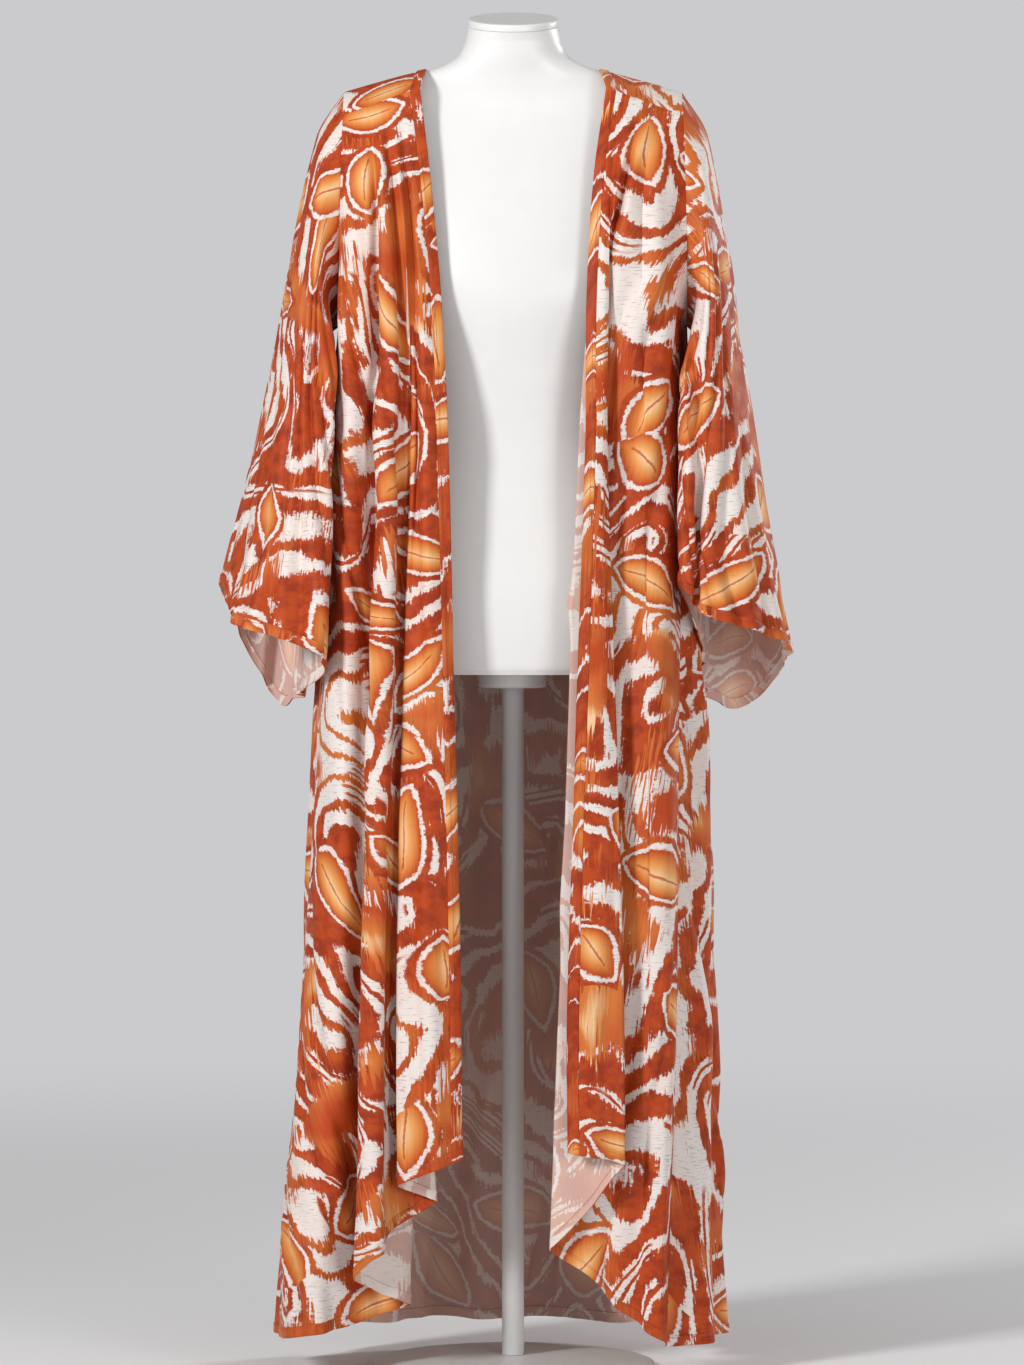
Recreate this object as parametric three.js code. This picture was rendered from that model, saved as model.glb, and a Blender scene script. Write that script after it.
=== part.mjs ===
// Long open kimono cardigan, worn by a limbless dress form on a pole and a round base.
// Millimetres, +Z up, the front faces -Y, and the wearer's right is at -X.
// The origin is the centre of the base's underside.
import * as THREE from "three";

// Driving dimensions of the cloth.
const CLOTH = 1.2;
const SEAM_GAP = 0.3;
const BAND_WIDTH = 12;
const BAND_EASING = 0.35;
const HEM_Z = 36;

// Heights of the named sections, from the shoulder down.
const LEVELS = { chest: 1340, bust: 1207, waist: 1037, knee: 416, hem: 150 };
const UNDERARM_Z = 1178;

// The armhole is an ellipse seen from the side.
const ARMHOLE = { x: 190, underarmX: 196, topZ: 1441, depth: 80, frontSeam: 38.7, nape: -35 };
const ARMHOLE_HALF = (ARMHOLE.topZ - UNDERARM_Z) / 2;

// The shoulder line falls from the neck to the armhole.
const SHOULDER = { neckX: 109, slope: 0.277 };
const FORWARD_SEAM_NECK = { x: 115, y: -58, z: 1439 };
const FORWARD_EDGE_NECK = { x: 104, y: -58.5, z: 1442 };

// How finely each piece is sampled.
const STRAP_ROWS = 7;
const ARMHOLE_ROWS = 9;
const LOWER_ROWS = 12;
const FOLD_STEPS = 3;
const HEM_SAMPLES = 12;
const BACK_COLUMNS = 32;
const STRAP_COLUMNS = 8;
const SLEEVE_ROWS = 11;

// Each front as it hangs, from its free edge outwards to the side seam.
// A row is a fold; a column is [distance out from the centre line, depth] at a level.
// The rise is how far the hem there stands above the hem at the side seam.
const RIGHT_FRONT_FOLDS = [
  { fold: "free edge", rise: 214,
    chest: [92, -86], bust: [80, -108], waist: [72, -122], knee: [58, -134], hem: [55, -140] },
  { fold: "band seam", rise: 209,
    chest: [103, -88], bust: [91, -111], waist: [84, -126], knee: [70, -139], hem: [67, -146] },
  { fold: "opening panel", rise: 197,
    chest: [112, -90], bust: [102, -113], waist: [98, -127], knee: [101, -143], hem: [98, -151] },
  { fold: "opening fold", rise: 184,
    chest: [120, -91], bust: [111, -111], waist: [114, -119], knee: [131, -133], hem: [129, -140] },
  { fold: "turn behind it", rise: 164,
    chest: [127, -92], bust: [118, -109], waist: [110, -108], knee: [100, -115], hem: [80, -120] },
  { fold: "pipe, inner side", rise: 138,
    chest: [134, -94], bust: [125, -113], waist: [121, -113], knee: [131, -120], hem: [126, -122] },
  { fold: "pipe crest", rise: 108,
    chest: [142, -96], bust: [134, -118], waist: [134, -127], knee: [149, -146], hem: [150, -154] },
  { fold: "pipe, outer side", rise: 76,
    chest: [149, -95], bust: [144, -114], waist: [149, -119], knee: [164, -128], hem: [167, -136] },
  { fold: "recess", rise: 46,
    chest: [156, -93], bust: [153, -106], waist: [157, -97], knee: [138, -96], hem: [117, -94] },
  { fold: "side fold, inner", rise: 30,
    chest: [164, -92], bust: [165, -108], waist: [170, -103], knee: [168, -92], hem: [165, -84] },
  { fold: "side fold crest", rise: 18,
    chest: [176, -90], bust: [182, -107], waist: [184, -110], knee: [196, -117], hem: [214, -128] },
  { fold: "side fold, outer", rise: 8,
    chest: [187, -84], bust: [192, -88], waist: [199, -76], knee: [228, -78], hem: [254, -88] },
];
const LEFT_FRONT_FOLDS = [
  { fold: "free edge", rise: 222,
    chest: [90, -86], bust: [82, -112], waist: [80, -130], knee: [61, -144], hem: [63, -150] },
  { fold: "band seam", rise: 219,
    chest: [101, -89], bust: [93, -115], waist: [91, -134], knee: [73, -149], hem: [75, -155] },
  { fold: "opening fold", rise: 207,
    chest: [109, -91], bust: [106, -116], waist: [105, -128], knee: [123, -141], hem: [123, -148] },
  { fold: "layer behind it", rise: 156,
    chest: [116, -92], bust: [98, -110], waist: [90, -122], knee: [86, -131], hem: [82, -136] },
  { fold: "turn at the opening", rise: 112,
    chest: [123, -93], bust: [88, -105], waist: [73, -117], knee: [51, -124], hem: [41, -126] },
  { fold: "hidden layer", rise: 82,
    chest: [129, -94], bust: [104, -103], waist: [96, -110], knee: [90, -112], hem: [82, -112] },
  { fold: "recess", rise: 50,
    chest: [136, -95], bust: [122, -107], waist: [120, -106], knee: [122, -108], hem: [112, -104] },
  { fold: "wide fold crest", rise: 24,
    chest: [146, -98], bust: [143, -118], waist: [147, -121], knee: [150, -128], hem: [142, -118] },
  { fold: "wide fold, outer", rise: 10,
    chest: [160, -95], bust: [161, -106], waist: [166, -102], knee: [168, -116], hem: [162, -112] },
  { fold: "side valley", rise: 4,
    chest: [175, -88], bust: [177, -84], waist: [180, -80], knee: [178, -103], hem: [170, -104] },
];

// Side seams below the underarm: distance out and depth.
const RIGHT_SIDE_SEAM = [
  { z: 1178, out: 196, y: 0 },
  { z: 1037, out: 204, y: -6 },
  { z: 416, out: 236, y: 0 },
  { z: 150, out: 257, y: 3 },
  { z: 30, out: 264, y: 4 },
];
const LEFT_SIDE_SEAM = [
  { z: 1178, out: 196, y: 0 },
  { z: 1037, out: 191, y: -46 },
  { z: 755, out: 186, y: -76 },
  { z: 416, out: 183, y: -88 },
  { z: 30, out: 171, y: -98 },
];

// The stretch above and below the underarm where the back's oval bends to meet the side seam.
const UNDERARM_REACH = 110;

// The back hangs as a half oval: its middle, half width and depth at each height.
const BACK_OVAL = [
  { z: 1470, middle: 0, half: 186, back: 60 },
  { z: 1447, middle: 0, half: 186, back: 73 },
  { z: 1400, middle: 0, half: 190, back: 97 },
  { z: 1300, middle: 0, half: 194, back: 117 },
  { z: 1178, middle: -1, half: 198, back: 124 },
  { z: 1037, middle: -4, half: 203, back: 130 },
  { z: 755, middle: -13, half: 212, back: 138 },
  { z: 416, middle: -10, half: 221, back: 146 },
  { z: 30, middle: -15, half: 247, back: 158 },
];
// Folds of the back, from the wearer's right side seam to the left one.
const BACK_FOLDS = [
  { at: 0, out: 0 },
  { at: 0.06, out: 5 },
  { at: 0.12, out: -6 },
  { at: 0.185, out: 8 },
  { at: 0.255, out: -9 },
  { at: 0.33, out: 9 },
  { at: 0.4, out: -7 },
  { at: 0.475, out: 9 },
  { at: 0.56, out: -10 },
  { at: 0.635, out: 9 },
  { at: 0.71, out: -8 },
  { at: 0.78, out: 9 },
  { at: 0.85, out: -9 },
  { at: 0.925, out: 7 },
  { at: 1, out: 0 },
];
const BACK_FOLD_GROWTH = [
  { z: 1470, by: 0 },
  { z: 1380, by: 0 },
  { z: 1178, by: 0.25 },
  { z: 755, by: 0.9 },
  { z: 416, by: 1.5 },
  { z: 30, by: 2.3 },
];
const NAPE = { cornerX: 99, cornerY: 36, cornerZ: 1450, middleY: 66, middleZ: 1459, blend: 0.1 };

// Each sleeve round its tube, from the shoulder point forwards: its section at mid length and at the cuff.
const SLEEVE_MID_Z = 1110;
const RIGHT_SLEEVE_FOLDS = [
  { at: 0, midOut: 276, midY: 0, cuffOut: 331, cuffY: 12, cuffZ: 888 },
  { at: 0.09, midOut: 264, midY: -58, cuffOut: 318, cuffY: -40, cuffZ: 864 },
  { at: 0.16, midOut: 250, midY: -92, cuffOut: 311, cuffY: -84, cuffZ: 843 },
  { at: 0.27, midOut: 228, midY: -112, cuffOut: 262, cuffY: -128, cuffZ: 829 },
  { at: 0.36, midOut: 209, midY: -114, cuffOut: 212, cuffY: -138, cuffZ: 808 },
  { at: 0.42, midOut: 203, midY: -98, cuffOut: 208, cuffY: -120, cuffZ: 793 },
  { at: 0.5, midOut: 211, midY: -30, cuffOut: 236, cuffY: -60, cuffZ: 768 },
  { at: 0.58, midOut: 212, midY: 35, cuffOut: 240, cuffY: 30, cuffZ: 762 },
  { at: 0.66, midOut: 214, midY: 85, cuffOut: 246, cuffY: 88, cuffZ: 755 },
  { at: 0.76, midOut: 236, midY: 105, cuffOut: 268, cuffY: 108, cuffZ: 750 },
  { at: 0.86, midOut: 262, midY: 80, cuffOut: 305, cuffY: 84, cuffZ: 815 },
  { at: 0.94, midOut: 274, midY: 40, cuffOut: 326, cuffY: 50, cuffZ: 868 },
];
const LEFT_SLEEVE_FOLDS = [
  { at: 0, midOut: 264, midY: 0, cuffOut: 309, cuffY: 5, cuffZ: 806 },
  { at: 0.08, midOut: 258, midY: -45, cuffOut: 311, cuffY: -45, cuffZ: 808 },
  { at: 0.15, midOut: 246, midY: -86, cuffOut: 302, cuffY: -88, cuffZ: 822 },
  { at: 0.24, midOut: 228, midY: -108, cuffOut: 262, cuffY: -120, cuffZ: 838 },
  { at: 0.31, midOut: 214, midY: -114, cuffOut: 216, cuffY: -131, cuffZ: 852 },
  { at: 0.36, midOut: 205, midY: -101, cuffOut: 206, cuffY: -113, cuffZ: 862 },
  { at: 0.41, midOut: 196, midY: -110, cuffOut: 196, cuffY: -128, cuffZ: 876 },
  { at: 0.46, midOut: 188, midY: -94, cuffOut: 184, cuffY: -108, cuffZ: 890 },
  { at: 0.52, midOut: 206, midY: -40, cuffOut: 208, cuffY: -60, cuffZ: 830 },
  { at: 0.6, midOut: 210, midY: 25, cuffOut: 213, cuffY: 15, cuffZ: 790 },
  { at: 0.68, midOut: 212, midY: 80, cuffOut: 222, cuffY: 80, cuffZ: 760 },
  { at: 0.77, midOut: 232, midY: 102, cuffOut: 256, cuffY: 106, cuffZ: 743 },
  { at: 0.86, midOut: 252, midY: 78, cuffOut: 292, cuffY: 82, cuffZ: 768 },
  { at: 0.93, midOut: 262, midY: 40, cuffOut: 306, cuffY: 48, cuffZ: 792 },
];
const SLEEVE_CAP = { share: 0.155, bulge: 18, under: 8, deep: 6 };
const ARMHOLE_CLEAR = { top: 1.1, under: 2.5 };

// Dress form: half width, depth in front and behind, and squareness of each level section.
const FORM_SECTIONS = [
  { z: 792, half: 150, front: 84, back: 96, square: 2.2 },
  { z: 870, half: 158, front: 88, back: 100, square: 2.2 },
  { z: 960, half: 142, front: 80, back: 86, square: 2.2 },
  { z: 1050, half: 116, front: 72, back: 72, square: 2.2 },
  { z: 1130, half: 124, front: 82, back: 80, square: 2.2 },
  { z: 1215, half: 146, front: 98, back: 94, square: 2.3 },
  { z: 1290, half: 160, front: 86, back: 98, square: 2.3 },
  { z: 1350, half: 172, front: 70, back: 90, square: 2.3 },
  { z: 1390, half: 178, front: 58, back: 76, square: 2.2 },
  { z: 1415, half: 179, front: 48, back: 62, square: 2.1 },
  { z: 1432, half: 174, front: 40, back: 50, square: 1.9 },
  { z: 1443.3, half: 166, front: 36, back: 44, square: 1.7 },
  { z: 1450.3, half: 150, front: 36, back: 42, square: 1.6 },
  { z: 1456.3, half: 130, front: 37, back: 42, square: 1.6 },
  { z: 1463.3, half: 104, front: 39, back: 42, square: 1.7 },
  { z: 1471.3, half: 80, front: 42, back: 43, square: 1.8 },
  { z: 1480.8, half: 64, front: 45, back: 45, square: 1.9 },
  { z: 1496, half: 55, front: 48, back: 48, square: 2 },
];
const NECK_CAP = { z: 1524, half: 51, depth: 52, slope: 0.22, rim: 2, thick: 8 };
const FORM_EDGE = 6;
const FORM_COLUMNS = 32;
const POLE = { radius: 12.5, sides: 20 };
const COLLAR = { radius: 38, height: 16 };
const BASE = { radius: 160, edge: 5, rise: 9, flat: 40 };
const FIT_GAP = 0.3;

const FULL_TURN = 2 * Math.PI;
const RIGHT = -1;
const LEFT = 1;

const DEGREES = Math.PI / 180;
const mix = (a, b, t) => a + (b - a) * t;
const clamp01 = (t) => Math.min(1, Math.max(0, t));
const point = (x, y, z) => new THREE.Vector3(x, y, z);
const steps = (n) => Array.from({ length: n + 1 }, (_, i) => i / n);

function hermite(a, b, slopeA, slopeB, t) {
  const t2 = t * t;
  const t3 = t2 * t;
  const fromA = (2 * t3 - 3 * t2 + 1) * a + (t3 - 2 * t2 + t) * slopeA;
  return fromA + (3 * t2 - 2 * t3) * b + (t3 - t2) * slopeB;
}

// A smooth curve through a table: the column `value` against the column `key`.
function along(rows, key, value, at) {
  const last = rows.length - 1;
  const sign = Math.sign(rows[last][key] - rows[0][key]);
  let i = 0;
  while (i < last - 1 && sign * (at - rows[i + 1][key]) > 0) i++;
  const slope = (k) => {
    const a = rows[Math.max(0, k - 1)];
    const b = rows[Math.min(last, k + 1)];
    return (b[value] - a[value]) / (b[key] - a[key]);
  };
  const span = rows[i + 1][key] - rows[i][key];
  const t = clamp01((at - rows[i][key]) / span);
  return hermite(rows[i][value], rows[i + 1][value], slope(i) * span, slope(i + 1) * span, t);
}

// A smooth curve through evenly counted points, at u counted in points.
function throughPoints(points, u) {
  const last = points.length - 1;
  const i = Math.min(last - 1, Math.max(0, Math.floor(u)));
  const [p, q] = [points[i], points[i + 1]];
  const before = points[Math.max(0, i - 1)];
  const after = points[Math.min(last, i + 2)];
  const at = (k) => hermite(p[k], q[k], (q[k] - before[k]) / 2, (after[k] - p[k]) / 2, u - i);
  return point(at("x"), at("y"), at("z"));
}

// The armhole seam, by the turn from the shoulder point forwards, in degrees.
function armhole(side, turn) {
  const up = Math.cos(turn * DEGREES);
  const out = mix(ARMHOLE.underarmX, ARMHOLE.x, (up + 1) / 2);
  return point(side * out, -ARMHOLE.depth * Math.sin(turn * DEGREES), UNDERARM_Z + ARMHOLE_HALF * (1 + up));
}

const sideSeam = (side) => (side === RIGHT ? RIGHT_SIDE_SEAM : LEFT_SIDE_SEAM);
const frontFolds = (side) => (side === RIGHT ? RIGHT_FRONT_FOLDS : LEFT_FRONT_FOLDS);

// The side edge of a front or of the back at a height: armhole seam above the underarm, side seam below.
function sideEdge(side, z, frontOrBack) {
  if (z < UNDERARM_Z) {
    const rows = sideSeam(side);
    return point(side * along(rows, "z", "out", z), along(rows, "z", "y", z), z);
  }
  const turn = Math.acos(clamp01((z - UNDERARM_Z) / (2 * ARMHOLE_HALF)) * 2 - 1) / DEGREES;
  return armhole(side, frontOrBack * turn);
}

// A front's shape: its fold points at any height, its top and its hem.
function frontShape(side) {
  const folds = frontFolds(side);
  const count = folds.length;
  const shoulder = armhole(side, ARMHOLE.frontSeam);
  const neckSeam = point(side * FORWARD_SEAM_NECK.x, FORWARD_SEAM_NECK.y, FORWARD_SEAM_NECK.z);
  const neckEdge = point(side * FORWARD_EDGE_NECK.x, FORWARD_EDGE_NECK.y, FORWARD_EDGE_NECK.z);
  const top = (u) =>
    u < 1 ? neckEdge.clone().lerp(neckSeam, u) : neckSeam.clone().lerp(shoulder, (u - 1) / (count - 1));
  const columns = folds.map((row, k) => {
    const levelOf = (name) => ({ z: LEVELS[name], x: side * row[name][0], y: row[name][1] });
    return [top(k), ...Object.keys(LEVELS).map(levelOf)];
  });
  const plan = (u, z, sideZ) => {
    const points = columns.map((rows) => point(along(rows, "z", "x", z), along(rows, "z", "y", z), z));
    return throughPoints([...points, sideEdge(side, sideZ, 1)], u).setZ(z);
  };
  const samples = steps(count * HEM_SAMPLES).map((t) => plan(t * count, LEVELS.hem, LEVELS.hem));
  const lengths = [0];
  for (let k = 1; k < samples.length; k++) {
    lengths.push(lengths[k - 1] + samples[k].distanceTo(samples[k - 1]));
  }
  const hemLength = (u) => {
    const k = Math.min(samples.length - 2, Math.floor(u * HEM_SAMPLES));
    return mix(lengths[k], lengths[k + 1], u * HEM_SAMPLES - k);
  };
  const rises = [...folds.map(({ rise }) => rise), 0].map((rise, k) => ({ length: hemLength(k), rise }));
  const hemHeight = (u) => HEM_Z + along(rises, "length", "rise", hemLength(u));
  const hung = (u, fall) => plan(u, mix(top(u).z, hemHeight(u), fall), mix(shoulder.z, HEM_Z, fall));
  const at = (u, fall) => hung(u, fall).addScaledVector(top(u).sub(hung(u, 0)), (1 - fall) ** 8);
  return { count, at, hemHeight, height: (u) => top(u).z - hemHeight(u) };
}

const FRONTS = { [RIGHT]: frontShape(RIGHT), [LEFT]: frontShape(LEFT) };

// The rows of a front or of the back, as shares of the fall from its top to its hem.
function rowFalls(from) {
  const upper = steps(ARMHOLE_ROWS).map((t) => armhole(LEFT, mix(from, 180, t)).z);
  const lower = steps(LOWER_ROWS).map((t) => mix(UNDERARM_Z, HEM_Z, t));
  const heights = [...upper, ...lower.slice(1)];
  return heights.map((z) => (heights[0] - z) / (heights[0] - HEM_Z));
}

// A panel stops where its hem band starts.
const bandStart = (height) => 1 - BAND_WIDTH / height;
const aboveBand = (fall, height) => Math.min(fall, bandStart(height));

// A grid of points from a function of column and row.
const grid = (columns, rows, at) => rows.map((r) => columns.map((c) => at(c, r)));

const keyOf = (p) => [p.x, p.y, p.z].map((v) => v.toFixed(3)).join();

// Joins grids of points into one sheet of squares, where equal points are one.
function joinGrids(grids, closed = false, easing = SEAM_GAP / 2) {
  const [points, squares, known] = [[], [], new Map()];
  const index = (p) => {
    const key = keyOf(p);
    if (!known.has(key)) {
      known.set(key, points.length);
      points.push(p.clone());
    }
    return known.get(key);
  };
  for (const rows of grids) {
    for (let r = 0; r + 1 < rows.length; r++) {
      const width = rows[r].length;
      for (let c = 0; c < (closed ? width : width - 1); c++) {
        const d = (c + 1) % width;
        squares.push([rows[r][c], rows[r + 1][c], rows[r + 1][d], rows[r][d]].map(index));
      }
    }
  }
  return { points, squares, easing };
}

function normalsOf({ points, squares }) {
  const normals = points.map(() => point(0, 0, 0));
  for (const s of squares) {
    const [a, b, c, d] = s.map((i) => points[i]);
    const n = c.clone().sub(a).cross(d.clone().sub(b)).normalize();
    for (const i of s) normals[i].add(n);
  }
  return normals.map((n) => n.normalize());
}

// Where pieces meet at a seam, they all thicken along one direction.
function shareSeamNormals(sheets) {
  const meetings = new Map();
  for (const sheet of sheets) {
    sheet.normals = normalsOf(sheet);
    for (const i of new Set(openEdges(sheet).map(({ a }) => a))) {
      const key = keyOf(sheet.points[i]);
      meetings.set(key, [...(meetings.get(key) || []), { sheet, i }]);
    }
  }
  for (const places of meetings.values()) {
    const own = places.map(({ sheet, i }) => sheet.normals[i].clone());
    const facing = own.map((n) => n.clone().multiplyScalar(n.dot(own[0]) < 0 ? -1 : 1));
    const shared = facing.reduce((sum, n) => sum.add(n), point(0, 0, 0)).normalize();
    places.forEach(({ sheet, i }, k) => {
      const sign = own[k].dot(shared) < 0 ? -1 : 1;
      sheet.normals[i].copy(shared).multiplyScalar(sign);
    });
  }
}

// Draws a sheet in from its open edges by its easing, so that neighbours stay apart.
function drawIn(sheet, edges) {
  const inward = new Map();
  for (const { a, b, square } of edges) {
    const [p, q] = [sheet.points[a], sheet.points[b]];
    const corners = square.reduce((sum, i) => sum.add(sheet.points[i]), point(0, 0, 0));
    const middle = corners.multiplyScalar(1 / 4);
    const way = q.clone().sub(p).normalize();
    const toMiddle = middle.sub(p);
    const into = toMiddle.sub(way.multiplyScalar(toMiddle.dot(way))).normalize();
    for (const i of [a, b]) inward.set(i, [...(inward.get(i) || []), into]);
  }
  for (const [i, [first, second]] of inward) {
    const corner = 1 + first.dot(second);
    const step = first.clone().add(second).multiplyScalar(sheet.easing / Math.max(0.5, corner));
    sheet.points[i].add(step);
  }
}

function openEdges({ squares }) {
  const seen = new Map();
  for (const square of squares) {
    square.forEach((a, k) => {
      const b = square[(k + 1) % 4];
      seen.set(a + "-" + b, { a, b, square });
    });
  }
  return [...seen.values()].filter(({ a, b }) => !seen.has(b + "-" + a));
}

// Cloth of real thickness: the sheet moved out, the sheet moved in, and a rim along its open edges.
function wall(sheet) {
  const edges = openEdges(sheet);
  drawIn(sheet, edges);
  const count = sheet.points.length;
  const moved = (by) => sheet.points.map((p, i) => p.clone().addScaledVector(sheet.normals[i], by));
  const positions = [...moved(CLOTH / 2), ...moved(-CLOTH / 2)].flatMap((p) => p.toArray());
  const faces = [];
  const square = (a, b, c, d) => faces.push(a, b, c, a, c, d);
  for (const [a, b, c, d] of sheet.squares) {
    square(a, b, c, d);
    square(d + count, c + count, b + count, a + count);
  }
  for (const { a, b } of edges) square(b, a, a + count, b + count);
  return solid(positions, faces);
}

function solid(positions, faces) {
  const geometry = new THREE.BufferGeometry();
  geometry.setAttribute("position", new THREE.Float32BufferAttribute(positions, 3));
  geometry.setIndex(faces);
  geometry.computeVertexNormals();
  return geometry;
}

// A front panel, from the band seam to the side.
function frontColumns(side) {
  const { count } = FRONTS[side];
  return steps((count - 1) * FOLD_STEPS).map((t) => mix(1, count, t));
}

function frontPanel(side) {
  const { at, height } = FRONTS[side];
  const rows = rowFalls(ARMHOLE.frontSeam);
  const place = (u, fall) => at(u, Math.max(SEAM_GAP / height(u), aboveBand(fall, height(u))));
  return joinGrids([grid(frontColumns(side), rows, place)]);
}

// The nape row runs from armhole to armhole behind the neck; t is 0 at the wearer's right, 1 at the left.
const STRAP_SHARE = STRAP_COLUMNS / BACK_COLUMNS;

function napeRow(t) {
  const side = t < 0.5 ? RIGHT : LEFT;
  const inward = Math.min(t, 1 - t) / STRAP_SHARE;
  const corner = point(side * NAPE.cornerX, NAPE.cornerY, NAPE.cornerZ);
  if (inward <= 1) return armhole(side, ARMHOLE.nape).lerp(corner, inward);
  const turn = ((inward - 1) / (0.5 / STRAP_SHARE - 1)) * (Math.PI / 2);
  const y = mix(NAPE.cornerY, NAPE.middleY, Math.sin(turn));
  return point(corner.x * Math.cos(turn), y, mix(NAPE.cornerZ, NAPE.middleZ, Math.sin(turn)));
}

// Over the shoulder: share 0 at the armhole, 1 at the neck, turned from the forward seam to the nape row.
function strapAt(side, share, turn) {
  const x = side * mix(ARMHOLE.x, SHOULDER.neckX, share);
  const ridge = point(x, 0, ARMHOLE.topZ + SHOULDER.slope * (ARMHOLE.x - Math.abs(x)));
  const last = turn > 0 ? ARMHOLE.frontSeam : ARMHOLE.nape;
  const forward = armhole(side, ARMHOLE.frontSeam).lerp(
    point(side * FORWARD_SEAM_NECK.x, FORWARD_SEAM_NECK.y, FORWARD_SEAM_NECK.z), share);
  const end = turn > 0 ? forward : napeRow(side === RIGHT ? share * STRAP_SHARE : 1 - share * STRAP_SHARE);
  const fallen = (1 - Math.cos(turn * DEGREES)) / (1 - Math.cos(last * DEGREES));
  const y = (end.y * Math.sin(turn * DEGREES)) / Math.sin(last * DEGREES);
  return ridge.lerp(end, fallen).setY(y);
}

// The back below the nape row: a half oval with folds, drawn to its two side edges.
function backHung(t, z, sideZ) {
  const [middle, half, back] = ["middle", "half", "back"].map((name) => along(BACK_OVAL, "z", name, z));
  const edges = [sideEdge(RIGHT, sideZ, -1), sideEdge(LEFT, sideZ, -1)];
  const [first, last] = [RIGHT, LEFT].map((side) => Math.asin(along(sideSeam(side), "z", "y", z) / back));
  const near = clamp01(1 - Math.abs(sideZ - UNDERARM_Z) / UNDERARM_REACH);
  const power = mix(3, 14, near * near * (3 - 2 * near));
  const folded = along(BACK_FOLDS, "at", "out", t) * along(BACK_FOLD_GROWTH, "z", "by", z);
  const oval = (share) => {
    const turn = mix(Math.PI - first, last, share);
    return point(middle + (half + folded) * Math.cos(turn), (back + folded) * Math.sin(turn), z);
  };
  const drawn = (edge, share, weight) => edge.clone().sub(oval(share)).setZ(0).multiplyScalar(weight);
  return oval(t).add(drawn(edges[0], 0, (1 - t) ** power)).add(drawn(edges[1], 1, t ** power));
}

function backAt(t, fall) {
  const top = napeRow(t);
  const sideTop = armhole(RIGHT, ARMHOLE.nape).z;
  const below = backHung(t, mix(top.z, HEM_Z, fall), mix(sideTop, HEM_Z, fall));
  const pull = clamp01(1 - fall / NAPE.blend);
  return below.addScaledVector(top.sub(backHung(t, top.z, sideTop)).setZ(0), pull * pull * (3 - 2 * pull));
}

const backHeight = (t) => napeRow(t).z - HEM_Z;
const strapTurns = steps(STRAP_ROWS).map((t) => mix(ARMHOLE.frontSeam, ARMHOLE.nape, t));

// The back with its two shoulders, which reach over to the forward seams.
function backPanel() {
  const shares = steps(STRAP_COLUMNS);
  const rightStrap = grid(shares, strapTurns, (share, turn) => strapAt(RIGHT, share, turn));
  const leftStrap = grid([...shares].reverse(), strapTurns, (share, turn) => strapAt(LEFT, share, turn));
  const rows = rowFalls(-ARMHOLE.nape);
  const below = grid(steps(BACK_COLUMNS), rows, (t, fall) => backAt(t, aboveBand(fall, backHeight(t))));
  return joinGrids([rightStrap, leftStrap, below]);
}

// The band round the neck edge: [free edge, seam] pairs from one front hem to the other.
const BAND_OVER_SHOULDER = point(
  FORWARD_EDGE_NECK.x - FORWARD_SEAM_NECK.x,
  FORWARD_EDGE_NECK.y - FORWARD_SEAM_NECK.y,
  FORWARD_EDGE_NECK.z - FORWARD_SEAM_NECK.z,
);
const BAND_AT_NAPE = point(0, -1.5, BAND_WIDTH);

function frontBand() {
  const up = (side) => {
    const { at, height } = FRONTS[side];
    const falls = [...rowFalls(ARMHOLE.frontSeam).map((fall) => aboveBand(fall, height(1))), 1];
    return falls.reverse().map((fall) => [at(0, fall), at(1, fall)]);
  };
  const round = (side) => {
    const shoulder = point(side, 1, 1).multiply(BAND_OVER_SHOULDER);
    const overShoulder = strapTurns.slice(1).map((turn) => ({ seam: strapAt(side, 1, turn), upright: 0 }));
    const behind = steps(BACK_COLUMNS / 2 - STRAP_COLUMNS).slice(1).map((t) => {
      const inward = mix(STRAP_SHARE, 0.5, t);
      return { seam: napeRow(side === RIGHT ? inward : 1 - inward), upright: 0 };
    });
    const stations = [...overShoulder, ...behind];
    const corner = overShoulder.length - 1;
    stations.forEach((station, k) => (station.upright = clamp01((k - corner + 4) / 8)));
    return stations.map(({ seam, upright }) => {
      const way = shoulder.clone().lerp(BAND_AT_NAPE, upright * upright * (3 - 2 * upright));
      return [seam.clone().add(way.setLength(mix(shoulder.length(), BAND_WIDTH, upright))), seam];
    });
  };
  const rows = [...up(RIGHT), ...round(RIGHT), ...round(LEFT).reverse().slice(1), ...up(LEFT).reverse()];
  return joinGrids([rows]);
}

// The hem band, from one front band round the back to the other.
function hemBand() {
  const pair = (at, height) => [at(bandStart(height)), at(1)];
  const frontPairs = (side) => {
    const { at, height } = FRONTS[side];
    return frontColumns(side).map((u) => pair((fall) => at(u, fall), height(u)));
  };
  const back = steps(BACK_COLUMNS).map((t) => pair((fall) => backAt(t, fall), backHeight(t)));
  const round = [...frontPairs(RIGHT), ...back.slice(1), ...frontPairs(LEFT).reverse().slice(1)];
  return joinGrids([round], false, BAND_EASING);
}

// A sleeve's cloth at a turn round the armhole, with share 0 at the armhole seam and 1 at the cuff's edge.
const SLEEVE_FOLDS = { [RIGHT]: RIGHT_SLEEVE_FOLDS, [LEFT]: LEFT_SLEEVE_FOLDS };

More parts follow.
